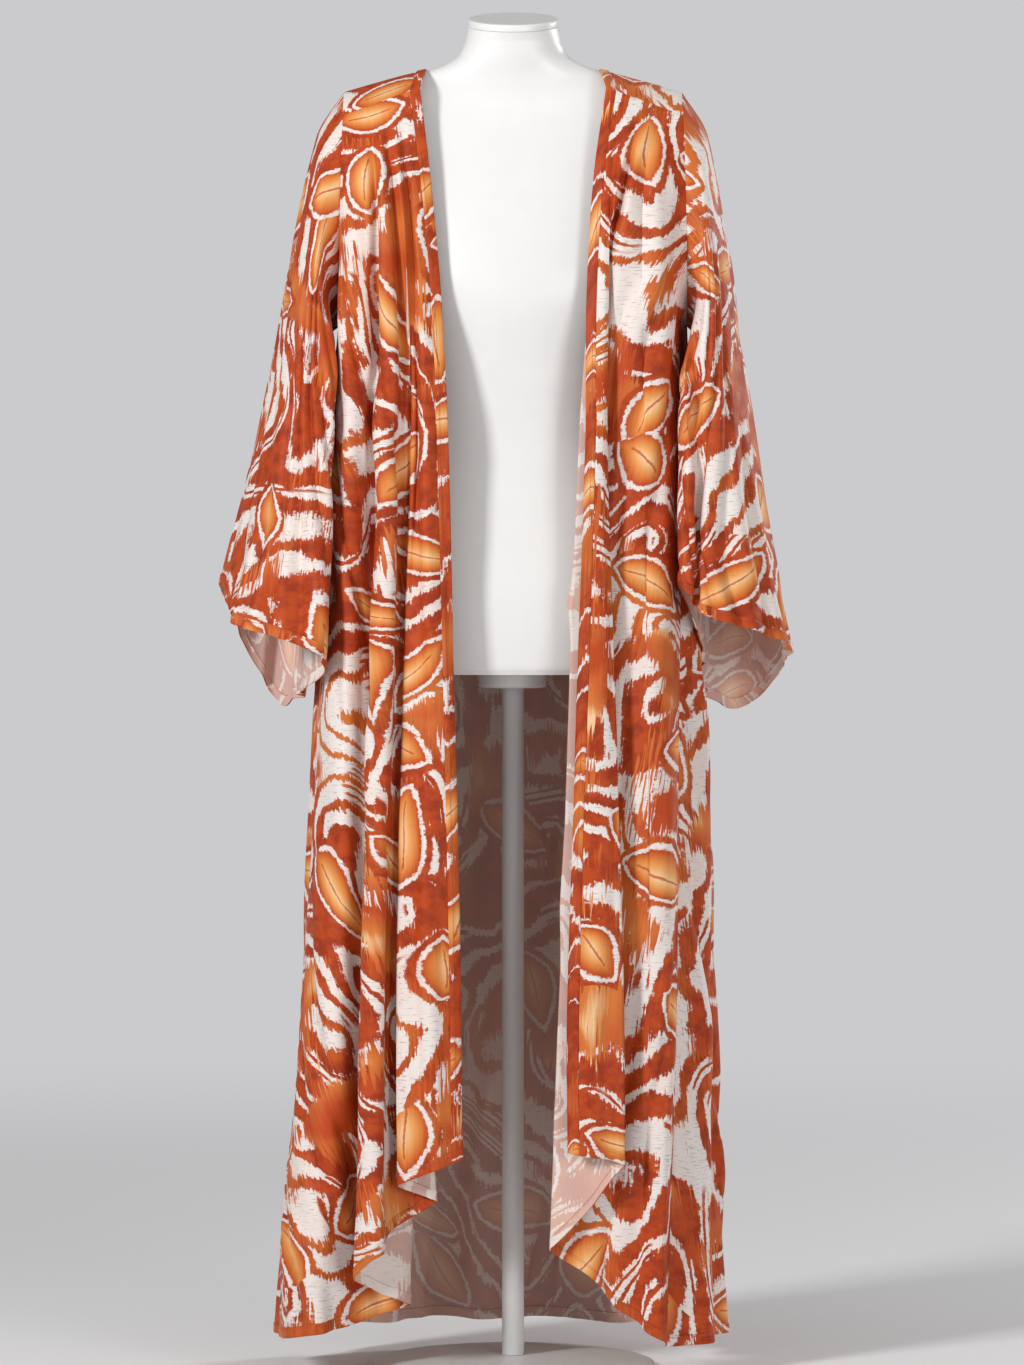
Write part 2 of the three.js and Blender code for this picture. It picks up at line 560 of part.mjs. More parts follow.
function sleeveColumn(side, start, turn) {
  const folds = SLEEVE_FOLDS[side];
  const shifted = (rows, by) => rows.map((row) => ({ ...row, at: row.at + by }));
  const round = [...shifted(folds.slice(-2), -1), ...folds, ...shifted(folds.slice(0, 2), 1)];
  const at = (((turn / 360) % 1) + 1) % 1;
  const read = (name) => along(round, "at", name, at);
  const mid = point(side * read("midOut"), read("midY"), SLEEVE_MID_Z);
  const cuff = point(side * read("cuffOut"), read("cuffY"), read("cuffZ"));
  const crown = Math.cos((turn * DEGREES) / 2) ** 2;
  const out = side * mix(SLEEVE_CAP.under, SLEEVE_CAP.bulge, crown);
  const bulge = point(out, -SLEEVE_CAP.deep * Math.sin(turn * DEGREES), 0);
  const cap = start.clone().lerp(mid, SLEEVE_CAP.share).add(bulge);
  const lengths = [start.distanceTo(cap), cap.distanceTo(mid), mid.distanceTo(cuff)];
  const length = lengths[0] + lengths[1] + lengths[2];
  const rows = [
    { share: 0, x: start.x, y: start.y, z: start.z },
    { share: lengths[0] / length, x: cap.x, y: cap.y, z: cap.z },
    { share: 1 - lengths[2] / length, x: mid.x, y: mid.y, z: mid.z },
    { share: 1, x: cuff.x, y: cuff.y, z: cuff.z },
  ];
  const pointAt = (share) => point(...["x", "y", "z"].map((name) => along(rows, "share", name, share)));
  return { length, pointAt };
}

// Round the armhole once: the body's own seam points, with one more between each two below the shoulder.
function sleeveColumns(side) {
  const turnsTo = (from, to, count) => steps(count).map((t) => mix(from, to, t));
  const body = [
    ...turnsTo(ARMHOLE.nape, ARMHOLE.frontSeam, STRAP_ROWS),
    ...turnsTo(ARMHOLE.frontSeam, 180, ARMHOLE_ROWS).slice(1),
    ...turnsTo(180, 360 + ARMHOLE.nape, ARMHOLE_ROWS).slice(1),
  ];
  return body.slice(0, -1).flatMap((turn, k) => {
    const [here, next] = [armhole(side, turn), armhole(side, body[k + 1])];
    const own = sleeveColumn(side, here, turn);
    if (k < STRAP_ROWS) return [own];
    return [own, sleeveColumn(side, here.lerp(next, 0.5), (turn + body[k + 1]) / 2)];
  });
}

function sleeve(side) {
  const columns = sleeveColumns(side);
  const rows = steps(SLEEVE_ROWS).map((t) =>
    columns.map(({ length, pointAt }, k) => {
      const under = (1 - Math.cos((k / columns.length) * FULL_TURN)) / 2;
      const clear = mix(ARMHOLE_CLEAR.top, ARMHOLE_CLEAR.under, under) / length;
      return pointAt(mix(clear, bandStart(length), t));
    }),
  );
  return joinGrids([rows], true);
}

function cuffBand(side) {
  const columns = sleeveColumns(side);
  const edge = columns.map(({ pointAt }) => pointAt(1));
  const seam = columns.map(({ length, pointAt }) => pointAt(bandStart(length)));
  return joinGrids([[seam, edge]], true, BAND_EASING);
}

// A solid through rings of points, closed at both ends by a fan to its middle.
function loft(rings) {
  const sides = rings[0].length;
  const middle = (ring) => ring.reduce((sum, p) => sum.add(p), point(0, 0, 0)).multiplyScalar(1 / sides);
  const points = [...rings.flat(), middle(rings[0]), middle(rings.at(-1))];
  const [low, high, top] = [points.length - 2, points.length - 1, (rings.length - 1) * sides];
  const faces = [];
  for (let k = 0; k < sides; k++) {
    const next = (k + 1) % sides;
    for (let r = 0; r < top; r += sides) {
      const [a, b, c, d] = [r + k, r + next, r + sides + next, r + sides + k];
      faces.push(a, b, c, a, c, d);
    }
    faces.push(low, next, k, high, top + k, top + next);
  }
  return solid(points.flatMap((p) => p.toArray()), faces);
}

const ringOf = (sides, at) => Array.from({ length: sides }, (_, k) => at((k / sides) * FULL_TURN));

// A round solid about the upright axis, from [radius, height] pairs going up.
const turned = (profile, sides) =>
  loft(profile.map(([radius, z]) => {
    const at = (angle) => point(radius * Math.cos(angle), radius * Math.sin(angle), z);
    return ringOf(sides, at);
  }));

// One level ring of the form: an oval with its own depth in front and behind.
function formRing({ z, half, front, back, square }, grow = 1) {
  const rounded = (v) => Math.sign(v) * Math.abs(v) ** (2 / square);
  return ringOf(FORM_COLUMNS, (a) => {
    const depth = Math.sin(a) > 0 ? back : front;
    return point(half * grow * rounded(Math.cos(a)), depth * grow * rounded(Math.sin(a)), z);
  });
}

// The slanted oval at the top of the neck.
const neckRing = (lift, inset) =>
  ringOf(FORM_COLUMNS, (a) => {
    const [x, y] = [(NECK_CAP.half - inset) * Math.cos(a), (NECK_CAP.depth - inset) * Math.sin(a)];
    return point(x, y, NECK_CAP.z + NECK_CAP.slope * y + lift);
  });

function formTorso() {
  const foot = formRing({ ...FORM_SECTIONS[0], z: FORM_SECTIONS[0].z - FORM_EDGE }, 1 - FORM_EDGE / 100);
  return loft([foot, ...FORM_SECTIONS.map((row) => formRing(row)), neckRing(-NECK_CAP.thick - FIT_GAP, 0)]);
}

const formCap = () =>
  loft([
    neckRing(-NECK_CAP.thick, 0),
    neckRing(-NECK_CAP.rim, 0),
    neckRing(-NECK_CAP.rim * 0.3, NECK_CAP.rim * 0.3),
    neckRing(0, NECK_CAP.rim),
  ]);

const formFoot = FORM_SECTIONS[0].z - FORM_EDGE;
const collarTop = formFoot - FIT_GAP;
const poleTop = collarTop - COLLAR.height - FIT_GAP;
const baseTop = BASE.edge + BASE.rise;

const collar = () => {
  const [r, low] = [COLLAR.radius, collarTop - COLLAR.height];
  return turned([[r - 6, low], [r, low + 4], [r, collarTop]], POLE.sides * 2);
};
const pole = () => turned([[POLE.radius, baseTop + FIT_GAP], [POLE.radius, poleTop]], POLE.sides);
const base = () => {
  const dome = steps(4).map((t) => {
    const turn = (t * Math.PI) / 2;
    return [mix(BASE.radius, BASE.flat, 1 - Math.cos(turn)), BASE.edge + BASE.rise * Math.sin(turn)];
  });
  return turned([[BASE.radius - 1, 0], [BASE.radius, 1], ...dome], POLE.sides * 2);
};

const fabric = new THREE.MeshStandardMaterial({ name: "printed_fabric", color: 0xd9c3b0, roughness: 0.8 });
const white = new THREE.MeshStandardMaterial({ name: "white_form", color: 0xf2f2f0, roughness: 0.4 });
const stand = new THREE.MeshStandardMaterial({ name: "white_stand", color: 0xe8e8e6, roughness: 0.5 });

const CLOTH_PIECES = {
  back: backPanel(),
  front_right: frontPanel(RIGHT),
  front_left: frontPanel(LEFT),
  sleeve_right: sleeve(RIGHT),
  sleeve_left: sleeve(LEFT),
  front_band: frontBand(),
  hem_band: hemBand(),
  cuff_band_right: cuffBand(RIGHT),
  cuff_band_left: cuffBand(LEFT),
};
const FORM_PIECES = { form_torso: formTorso(), form_neck_cap: formCap() };
const STAND_PIECES = { stand_collar: collar(), stand_pole: pole(), stand_base: base() };

const part = new THREE.Group();
part.name = "kimono_cardigan";

function addPieces(pieces, material) {
  for (const [name, geometry] of Object.entries(pieces)) {
    const mesh = new THREE.Mesh(geometry, material);
    mesh.name = name;
    part.add(mesh);
  }
}

shareSeamNormals(Object.values(CLOTH_PIECES));
const walls = Object.entries(CLOTH_PIECES).map(([name, sheet]) => [name, wall(sheet)]);
addPieces(Object.fromEntries(walls), fabric);
addPieces(FORM_PIECES, white);
addPieces(STAND_PIECES, stand);

export default part;
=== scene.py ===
# Long open kimono cardigan on a limbless dress form. Metres; +Z up; the front faces -Y.
import math

import bmesh
import bpy
import numpy as np
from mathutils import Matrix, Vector
from mathutils.bvhtree import BVHTree


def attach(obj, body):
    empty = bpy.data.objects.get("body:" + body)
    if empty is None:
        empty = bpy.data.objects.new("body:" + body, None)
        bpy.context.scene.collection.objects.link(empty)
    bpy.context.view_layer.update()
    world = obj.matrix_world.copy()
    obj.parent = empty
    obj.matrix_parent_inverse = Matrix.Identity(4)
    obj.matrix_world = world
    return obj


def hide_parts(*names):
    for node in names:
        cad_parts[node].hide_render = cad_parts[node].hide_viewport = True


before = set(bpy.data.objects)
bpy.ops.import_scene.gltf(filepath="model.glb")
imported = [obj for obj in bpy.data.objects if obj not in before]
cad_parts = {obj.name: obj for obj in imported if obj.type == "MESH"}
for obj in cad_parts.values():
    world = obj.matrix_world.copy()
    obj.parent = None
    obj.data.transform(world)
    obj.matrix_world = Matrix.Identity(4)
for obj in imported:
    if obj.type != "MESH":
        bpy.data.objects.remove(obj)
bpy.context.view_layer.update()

# Sizes are in mm. The wearer's right is at negative x, and side carries that sign.
RIGHT, LEFT = -1, 1
SIDE_NAMES = {RIGHT: "right", LEFT: "left"}
HEM_Z = 36
BAND = 12
LEVELS = (1340, 1207, 1037, 416, 150)
UNDERARM_Z = 1178
ARMHOLE_X, UNDERARM_X, SHOULDER_Z, ARMHOLE_DEPTH = 190, 196, 1441, 80
ARMHOLE_HALF = (SHOULDER_Z - UNDERARM_Z) / 2
FRONT_TURN, NAPE_TURN = 38.7, -35
SEAM_NECK = (115, -58, 1439)
EDGE_NECK = (104, -58.5, 1442)
NECK_X, SHOULDER_SLOPE = 109, 0.277
NAPE_X, NAPE_Y, NAPE_Z = 99, 36, 1450
NAPE_MIDDLE_Y, NAPE_MIDDLE_Z, NAPE_BLEND = 66, 1459, 0.1
STRAP_SHARE = 0.25
SLEEVE_MID_Z = 1110

# Fronts as they hang, from the free edge to the side seam: (out, depth) at chest, bust, waist, knee
# and hem, then how far the hem rises there.
RIGHT_FRONT_FOLDS = [
    ((92, -86), (80, -108), (72, -122), (58, -134), (55, -140), 214),
    ((103, -88), (91, -111), (84, -126), (70, -139), (67, -146), 209),
    ((112, -90), (102, -113), (98, -127), (101, -143), (98, -151), 197),
    ((120, -91), (111, -111), (114, -119), (131, -133), (129, -140), 184),
    ((127, -92), (118, -109), (110, -108), (100, -115), (80, -120), 164),
    ((134, -94), (125, -113), (121, -113), (131, -120), (126, -122), 138),
    ((142, -96), (134, -118), (134, -127), (149, -146), (150, -154), 108),
    ((149, -95), (144, -114), (149, -119), (164, -128), (167, -136), 76),
    ((156, -93), (153, -106), (157, -97), (138, -96), (117, -94), 46),
    ((164, -92), (165, -108), (170, -103), (168, -92), (165, -84), 30),
    ((176, -90), (182, -107), (184, -110), (196, -117), (214, -128), 18),
    ((187, -84), (192, -88), (199, -76), (228, -78), (254, -88), 8),
]
LEFT_FRONT_FOLDS = [
    ((90, -86), (82, -112), (80, -130), (61, -144), (63, -150), 222),
    ((101, -89), (93, -115), (91, -134), (73, -149), (75, -155), 219),
    ((109, -91), (106, -116), (105, -128), (123, -141), (123, -148), 207),
    ((116, -92), (98, -110), (90, -122), (86, -131), (82, -136), 156),
    ((123, -93), (88, -105), (73, -117), (51, -124), (41, -126), 112),
    ((129, -94), (104, -103), (96, -110), (90, -112), (82, -112), 82),
    ((136, -95), (122, -107), (120, -106), (122, -108), (112, -104), 50),
    ((146, -98), (143, -118), (147, -121), (150, -128), (142, -118), 24),
    ((160, -95), (161, -106), (166, -102), (168, -116), (162, -112), 10),
    ((175, -88), (177, -84), (180, -80), (178, -103), (170, -104), 4),
]
# Side seams below the underarm: height, distance out, depth.
SIDE_SEAMS = {
    RIGHT: [(1178, 196, 0), (1037, 204, -6), (416, 236, 0), (150, 257, 3), (30, 264, 4)],
    LEFT: [(1178, 196, 0), (1037, 191, -46), (755, 186, -76), (416, 183, -88), (30, 171, -98)],
}
# The back's half oval: height, middle, half width, depth.
BACK_OVAL = [
    (1470, 0, 186, 60),
    (1447, 0, 186, 73),
    (1400, 0, 190, 97),
    (1300, 0, 194, 117),
    (1178, -1, 198, 124),
    (1037, -4, 203, 130),
    (755, -13, 212, 138),
    (416, -10, 221, 146),
    (30, -15, 247, 158),
]
# The back's folds: share of the way round, distance out; and how they grow: height, times.
BACK_FOLDS = [
    (0, 0), (0.06, 5), (0.12, -6), (0.185, 8), (0.255, -9), (0.33, 9), (0.4, -7), (0.475, 9),
    (0.56, -10), (0.635, 9), (0.71, -8), (0.78, 9), (0.85, -9), (0.925, 7), (1, 0),
]
BACK_FOLD_GROWTH = [(1470, 0), (1380, 0), (1178, 0.25), (755, 0.9), (416, 1.5), (30, 2.3)]
# Sleeves round the tube: share of a turn, out and depth at mid length, then out, depth and
# height at the cuff.
RIGHT_SLEEVE_FOLDS = [
    (0, 276, 0, 331, 12, 888),
    (0.09, 264, -58, 318, -40, 864),
    (0.16, 250, -92, 311, -84, 843),
    (0.27, 228, -112, 262, -128, 829),
    (0.36, 209, -114, 212, -138, 808),
    (0.42, 203, -98, 208, -120, 793),
    (0.5, 211, -30, 236, -60, 768),
    (0.58, 212, 35, 240, 30, 762),
    (0.66, 214, 85, 246, 88, 755),
    (0.76, 236, 105, 268, 108, 750),
    (0.86, 262, 80, 305, 84, 815),
    (0.94, 274, 40, 326, 50, 868),
]
LEFT_SLEEVE_FOLDS = [
    (0, 264, 0, 309, 5, 806),
    (0.08, 258, -45, 311, -45, 808),
    (0.15, 246, -86, 302, -88, 822),
    (0.24, 228, -108, 262, -120, 838),
    (0.31, 214, -114, 216, -131, 852),
    (0.36, 205, -101, 206, -113, 862),
    (0.41, 196, -110, 196, -128, 876),
    (0.46, 188, -94, 184, -108, 890),
    (0.52, 206, -40, 208, -60, 830),
    (0.6, 210, 25, 213, 15, 790),
    (0.68, 212, 80, 222, 80, 760),
    (0.77, 232, 102, 256, 106, 743),
    (0.86, 252, 78, 292, 82, 768),
    (0.93, 262, 40, 306, 48, 792),
]
# How far the sleeve's top stands out: place along its first half, out under the arm and over it, forward.
SLEEVE_CAP = {"share": 0.155, "under": 8, "over": 18, "forward": 6}
# Dress form sections: height, half width, depth in front, depth behind, squareness.
FORM_SECTIONS = [
    (792, 150, 84, 96, 2.2),
    (870, 158, 88, 100, 2.2),
    (960, 142, 80, 86, 2.2),
    (1050, 116, 72, 72, 2.2),
    (1130, 124, 82, 80, 2.2),
    (1215, 146, 98, 94, 2.3),
    (1290, 160, 86, 98, 2.3),
    (1350, 172, 70, 90, 2.3),
    (1390, 178, 58, 76, 2.2),
    (1415, 179, 48, 62, 2.1),
    (1432, 174, 40, 50, 1.9),
    (1443.3, 166, 36, 44, 1.7),
    (1450.3, 150, 36, 42, 1.6),
    (1456.3, 130, 37, 42, 1.6),
    (1463.3, 104, 39, 42, 1.7),
    (1471.3, 80, 42, 43, 1.8),
    (1480.8, 64, 45, 45, 1.9),
    (1496, 55, 48, 48, 2),
]
# Places across the front band, from its free edge to its seam, and shares of a band's width from its seam.
BAND_U = np.array([0, 0.1, 0.25, 0.5, 0.75, 0.9, 0.96, 1])
EDGE_U = np.array([0.02, 0.055, 0.1])
BAND_ROWS = (0.0, 0.08, 0.2, 0.4, 0.6, 0.8, 0.93, 1.0)
# How deep and wide the cloth dips at each kind of seam.
GROOVES = {
    "side": (0.5, 1.6), "front band": (0.55, 1.3), "shoulder": (0.5, 1.8),
    "nape": (0.5, 1.5), "armhole": (0.6, 2.0), "hem": (0.45, 1.2),
}
# Rounded faces of the bindings, how far the stitches gather the cloth, and thicknesses.
HEM_CROWN, CUFF_CROWN, FRONT_CROWN = 0.35, 0.45, 0.5
GATHER_REACH = 7
CLOTH_THICK, BAND_THICK, FRONT_BAND_THICK = 0.9, 1.5, 1.6
# Deep valleys down each front, by fold count, and how deep and wide they and the swell beside them are.
VALLEYS = {RIGHT: (2.8, 5.2, 7.8), LEFT: (2.2, 4.4, 7.0)}
VALLEY = {"depth": 17.0, "width": 0.65, "swell": 0.5, "swell_width": 1.7}
# Where a sleeve's cloth falls in front of the underarm and hides it: place round the sleeve, height.
UNDERARM_FALL = {"at": 0.385, "spread": 0.055, "z": 1138, "reach": 66, "inward": 8, "forward": 5}
# Where each piece lies on the printed cloth, in metres, and how the print runs down fronts and sleeves.
FRONT_PRINT = {RIGHT: (1.7, 0.35), LEFT: (3.4, 0.35)}
SLEEVE_PRINT = {RIGHT: (5.2, 0.15), LEFT: (7.1, 0.15)}
CUFF_PRINT_STEP = (0.31, 0.4)
BAND_PRINT = (9.3, 0.2)
PRINT_TOP_Z, SLEEVE_PRINT_STRETCH = 1440, 1.05


def hermite(t, p, q, slope_p, slope_q, span):
    """From p to q by share t, leaving and arriving at the given slopes."""
    return (
        (2 * t**3 - 3 * t**2 + 1) * p
        + (t**3 - 2 * t**2 + t) * slope_p * span
        + (3 * t**2 - 2 * t**3) * q
        + (t**3 - t**2) * slope_q * span
    )


def curve(keys, values, at):
    """A smooth curve through (key, value) rows, held level beyond both ends; at may be an array."""
    keys, values = np.asarray(keys, float), np.asarray(values, float)
    if keys[0] > keys[-1]:
        keys, values = keys[::-1], values[::-1]
    at = np.clip(np.asarray(at, float), keys[0], keys[-1])
    slopes = np.empty_like(values)
    slopes[1:-1] = (values[2:] - values[:-2]) / (keys[2:] - keys[:-2])
    slopes[0] = (values[1] - values[0]) / (keys[1] - keys[0])
    slopes[-1] = (values[-1] - values[-2]) / (keys[-1] - keys[-2])
    i = np.clip(np.searchsorted(keys, at, side="right") - 1, 0, len(keys) - 2)
    span = keys[i + 1] - keys[i]
    return hermite((at - keys[i]) / span, values[i], values[i + 1], slopes[i], slopes[i + 1], span)


def column(rows, k):
    return [row[k] for row in rows]


def smooth(t):
    t = np.clip(t, 0, 1)
    return t * t * (3 - 2 * t)


def mix(a, b, t):
    return a + (b - a) * t


def stack(x, y, z):
    return np.stack(np.broadcast_arrays(x, y, z), axis=-1).astype(float)


def on_side(side, point):
    return np.array([side * point[0], *point[1:]], float)


def lengths_along(points, axis):
    """Running length through a grid or a row of points."""
    steps = np.linalg.norm(np.diff(points, axis=axis), axis=-1)
    pad = [(0, 0)] * steps.ndim
    pad[axis] = (1, 0)
    return np.cumsum(np.pad(steps, pad), axis=axis)


def armhole(side, turn):
    """The armhole seam, turned forwards from the shoulder point, in degrees."""
    turn = np.radians(turn)
    out = mix(UNDERARM_X, ARMHOLE_X, (np.cos(turn) + 1) / 2)
    return stack(side * out, -ARMHOLE_DEPTH * np.sin(turn), UNDERARM_Z + ARMHOLE_HALF * (1 + np.cos(turn)))


def side_edge(side, z, facing):
    """Side edge of a front (facing 1) or of the back (facing -1) at height z."""
    heights, outs, depths = (column(SIDE_SEAMS[side], k) for k in range(3))
    low = stack(side * curve(heights, outs, z), curve(heights, depths, z), z)
    share = np.clip((z - UNDERARM_Z) / (2 * ARMHOLE_HALF), 0, 1)
    high = armhole(side, facing * np.degrees(np.arccos(np.clip(share * 2 - 1, -1, 1))))
    return np.where((np.asarray(z) < UNDERARM_Z)[..., None], low, high)


# Fronts
class Front:
    """One front; u counts folds from the free edge to the side, fall is 0 at the top and 1 at the hem."""

    def __init__(self, side):
        self.side = side
        self.folds = RIGHT_FRONT_FOLDS if side == RIGHT else LEFT_FRONT_FOLDS
        self.count = len(self.folds)
        self.shoulder = armhole(side, FRONT_TURN)
        self.seam_neck, self.edge_neck = on_side(side, SEAM_NECK), on_side(side, EDGE_NECK)
        self.fine = np.linspace(0, self.count, self.count * 12 + 1)
        self.lengths = lengths_along(self.section(LEVELS[-1]), 0)
        self.rise_at = np.interp(np.arange(self.count + 1), self.fine, self.lengths)
        self.rises = [*column(self.folds, 5), 0]

    def section(self, z):
        """The hung front cut level at height z."""
        level = np.full(self.fine.shape, z)
        return self.plan(self.fine, level, level)

    def top(self, u):
        u = np.asarray(u, float)[..., None]
        neck = mix(self.edge_neck, self.seam_neck, np.clip(u, 0, 1))
        return np.where(u < 1, neck, mix(self.seam_neck, self.shoulder, (u - 1) / (self.count - 1)))

    def plan(self, u, z, side_z):
        u, z = np.broadcast_arrays(np.asarray(u, float), z)
        points = []
        for k, fold in enumerate(self.folds):
            top = self.top(k)
            keys = [top[2], *LEVELS]
            x = curve(keys, [top[0], *[self.side * fold[j][0] for j in range(5)]], z)
            y = curve(keys, [top[1], *[fold[j][1] for j in range(5)]], z)
            points.append(np.stack([x, y], axis=-1))
        points.append(side_edge(self.side, side_z, 1)[..., :2] + np.zeros(z.shape + (2,)))
        points = np.stack(points)
        i = np.clip(np.floor(u).astype(int), 0, self.count - 1)
        t = (u - i)[..., None]

        def pick(k):
            k = np.clip(k, 0, self.count)
            return np.take_along_axis(points, k[None, ..., None], axis=0)[0]

        p, q, before, after = pick(i), pick(i + 1), pick(i - 1), pick(i + 2)
        xy = hermite(t, p, q, q - before, after - p, 0.5)
        return np.concatenate([xy, z[..., None]], axis=-1)

    def flat(self, u, z):
        """Distance across the cloth from the free edge, at fold count u and height z."""
        levels = np.linspace(HEM_Z - 6, self.seam_neck[2] + 6, 60)
        rows = np.array([np.interp(u, self.fine, lengths_along(self.section(level), 0)) for level in levels])
        k = np.clip((z - levels[0]) / (levels[1] - levels[0]), 0, len(levels) - 1.001)
        low = k.astype(int)
        place = np.arange(len(u))[None, :] + 0 * low
        return mix(rows[low, place], rows[low + 1, place], k - low)

    def hem_height(self, u):
        return HEM_Z + curve(self.rise_at, self.rises, np.interp(u, self.fine, self.lengths))

    def height(self, u):
        return self.top(u)[..., 2] - self.hem_height(u)

    def hung(self, u, fall):
        z = mix(self.top(u)[..., 2], self.hem_height(u), fall)
        return self.plan(u, z, mix(self.shoulder[2], HEM_Z, fall))

    def at(self, u, fall):
        u, fall = np.broadcast_arrays(np.asarray(u, float), np.asarray(fall, float))
        settle = (self.top(u) - self.hung(u, np.zeros_like(fall))) * ((1 - fall) ** 8)[..., None]
        return self.hung(u, fall) + settle


# Back and shoulders
def nape_row(t):
    """The row behind the neck, from the wearer's right armhole (t 0) to the left one (t 1)."""
    t = np.asarray(t, float)
    side = np.where(t < 0.5, -1.0, 1.0)
    inward = np.minimum(t, 1 - t) / STRAP_SHARE
    corner = stack(side * NAPE_X, NAPE_Y, NAPE_Z)
    start = armhole(1, NAPE_TURN) * np.stack([side, np.ones_like(t), np.ones_like(t)], axis=-1)
    turn = np.clip((inward - 1) / (0.5 / STRAP_SHARE - 1), 0, 1) * math.pi / 2
    behind = stack(
        side * NAPE_X * np.cos(turn),
        mix(NAPE_Y, NAPE_MIDDLE_Y, np.sin(turn)),
        mix(NAPE_Z, NAPE_MIDDLE_Z, np.sin(turn)),
    )
    return np.where((inward <= 1)[..., None], mix(start, corner, np.minimum(inward, 1)[..., None]), behind)


def strap(side, share, turn):
    """Over one shoulder: share 0 at the armhole and 1 at the neck."""
    share, turn = np.broadcast_arrays(np.asarray(share, float), np.asarray(turn, float))
    x = side * mix(ARMHOLE_X, NECK_X, share)
    ridge = stack(x, 0, SHOULDER_Z + SHOULDER_SLOPE * (ARMHOLE_X - np.abs(x)))
    forward = mix(armhole(side, FRONT_TURN), on_side(side, SEAM_NECK), share[..., None])
    behind = nape_row(share * STRAP_SHARE if side == RIGHT else 1 - share * STRAP_SHARE)
    last = np.where(turn > 0, FRONT_TURN, NAPE_TURN)
    end = np.where((turn > 0)[..., None], forward, behind)
    fallen = (1 - np.cos(np.radians(turn))) / (1 - np.cos(np.radians(last)))
    p = mix(ridge, end, fallen[..., None])
    p[..., 1] = end[..., 1] * np.sin(np.radians(turn)) / np.sin(np.radians(last))
    return p


def back_hung(t, z, side_z):
    middle, half, depth = (curve(column(BACK_OVAL, 0), column(BACK_OVAL, k), z) for k in (1, 2, 3))
    ends = []
    for side in (RIGHT, LEFT):
        y = curve(column(SIDE_SEAMS[side], 0), column(SIDE_SEAMS[side], 2), z)
        ends.append(np.arcsin(y / depth))
    near = smooth(1 - np.abs(side_z - UNDERARM_Z) / 110)
    power = mix(3, 14, near)
    folded = curve(column(BACK_FOLDS, 0), column(BACK_FOLDS, 1), t)
    folded = folded * curve(column(BACK_FOLD_GROWTH, 0), column(BACK_FOLD_GROWTH, 1), z)

    def oval(share, fold):
        turn = mix(math.pi - ends[0], ends[1], share)
        return stack(middle + (half + fold) * np.cos(turn), (depth + fold) * np.sin(turn), z)

    p = oval(t, folded)
    for side, share, weight in ((RIGHT, 0, (1 - t) ** power), (LEFT, 1, t**power)):
        drawn = side_edge(side, side_z, -1) - oval(share, 0)
        drawn[..., 2] = 0
        p = p + drawn * weight[..., None]
    return p


def back(t, fall):
    t, fall = np.broadcast_arrays(np.asarray(t, float), np.asarray(fall, float))
    top, side_top = nape_row(t), armhole(RIGHT, NAPE_TURN)[2]
    below = back_hung(t, mix(top[..., 2], HEM_Z, fall), mix(side_top, HEM_Z, fall))
    pull = top - back_hung(t, top[..., 2], np.full(t.shape, side_top))
    pull[..., 2] = 0
    return below + pull * smooth(1 - fall / NAPE_BLEND)[..., None]


# Sleeves
def sleeve(side, turn, share):
    """A sleeve: turned round the armhole in degrees, share 0 at the armhole and 1 at the cuff's edge."""
    folds = RIGHT_SLEEVE_FOLDS if side == RIGHT else LEFT_SLEEVE_FOLDS
    around = [(r[0] - 1, *r[1:]) for r in folds[-2:]] + folds + [(r[0] + 1, *r[1:]) for r in folds[:2]]
    places, *measures = (column(around, k) for k in range(6))
    turn, share = np.broadcast_arrays(np.asarray(turn, float), np.asarray(share, float))
    at = (turn / 360) % 1
    mid_out, mid_y, cuff_out, cuff_y, cuff_z = (curve(places, measure, at) for measure in measures)
    start = armhole(side, turn)
    mid = stack(side * mid_out, mid_y, SLEEVE_MID_Z)
    cuff = stack(side * cuff_out, cuff_y, cuff_z)
    out = mix(SLEEVE_CAP["under"], SLEEVE_CAP["over"], np.cos(np.radians(turn) / 2) ** 2)
    cap = mix(start, mid, SLEEVE_CAP["share"])
    cap = cap + stack(side * out, -SLEEVE_CAP["forward"] * np.sin(np.radians(turn)), 0)
    a, b, c = (np.linalg.norm(q - p, axis=-1) for p, q in ((start, cap), (cap, mid), (mid, cuff)))
    total = a + b + c
    keys = [np.zeros_like(total), a / total, 1 - c / total, np.ones_like(total)]
    points = [start, cap, mid, cuff]
    slopes = []
    for before, after in ((0, 1), (0, 2), (1, 3), (2, 3)):
        slopes.append((points[after] - points[before]) / (keys[after] - keys[before])[..., None])
    result = np.empty(turn.shape + (3,))
    for k in range(3):
        span = keys[k + 1] - keys[k]
        t = np.clip((share - keys[k]) / span, 0, 1)[..., None]
        piece = hermite(t, points[k], points[k + 1], slopes[k], slopes[k + 1], span[..., None])
        inside = (share >= keys[k]) if k else np.ones(turn.shape, bool)
        result = np.where(inside[..., None], piece, result)
    return result, total


# Cloth meshes
def normals_of(points, closed=False):
    if closed:
        across = np.roll(points, -1, axis=1) - np.roll(points, 1, axis=1)
    else:
        across = np.gradient(points, axis=1)
    down = np.gradient(points, axis=0)
    n = np.cross(down, across)
    return n / np.maximum(np.linalg.norm(n, axis=-1, keepdims=True), 1e-9)


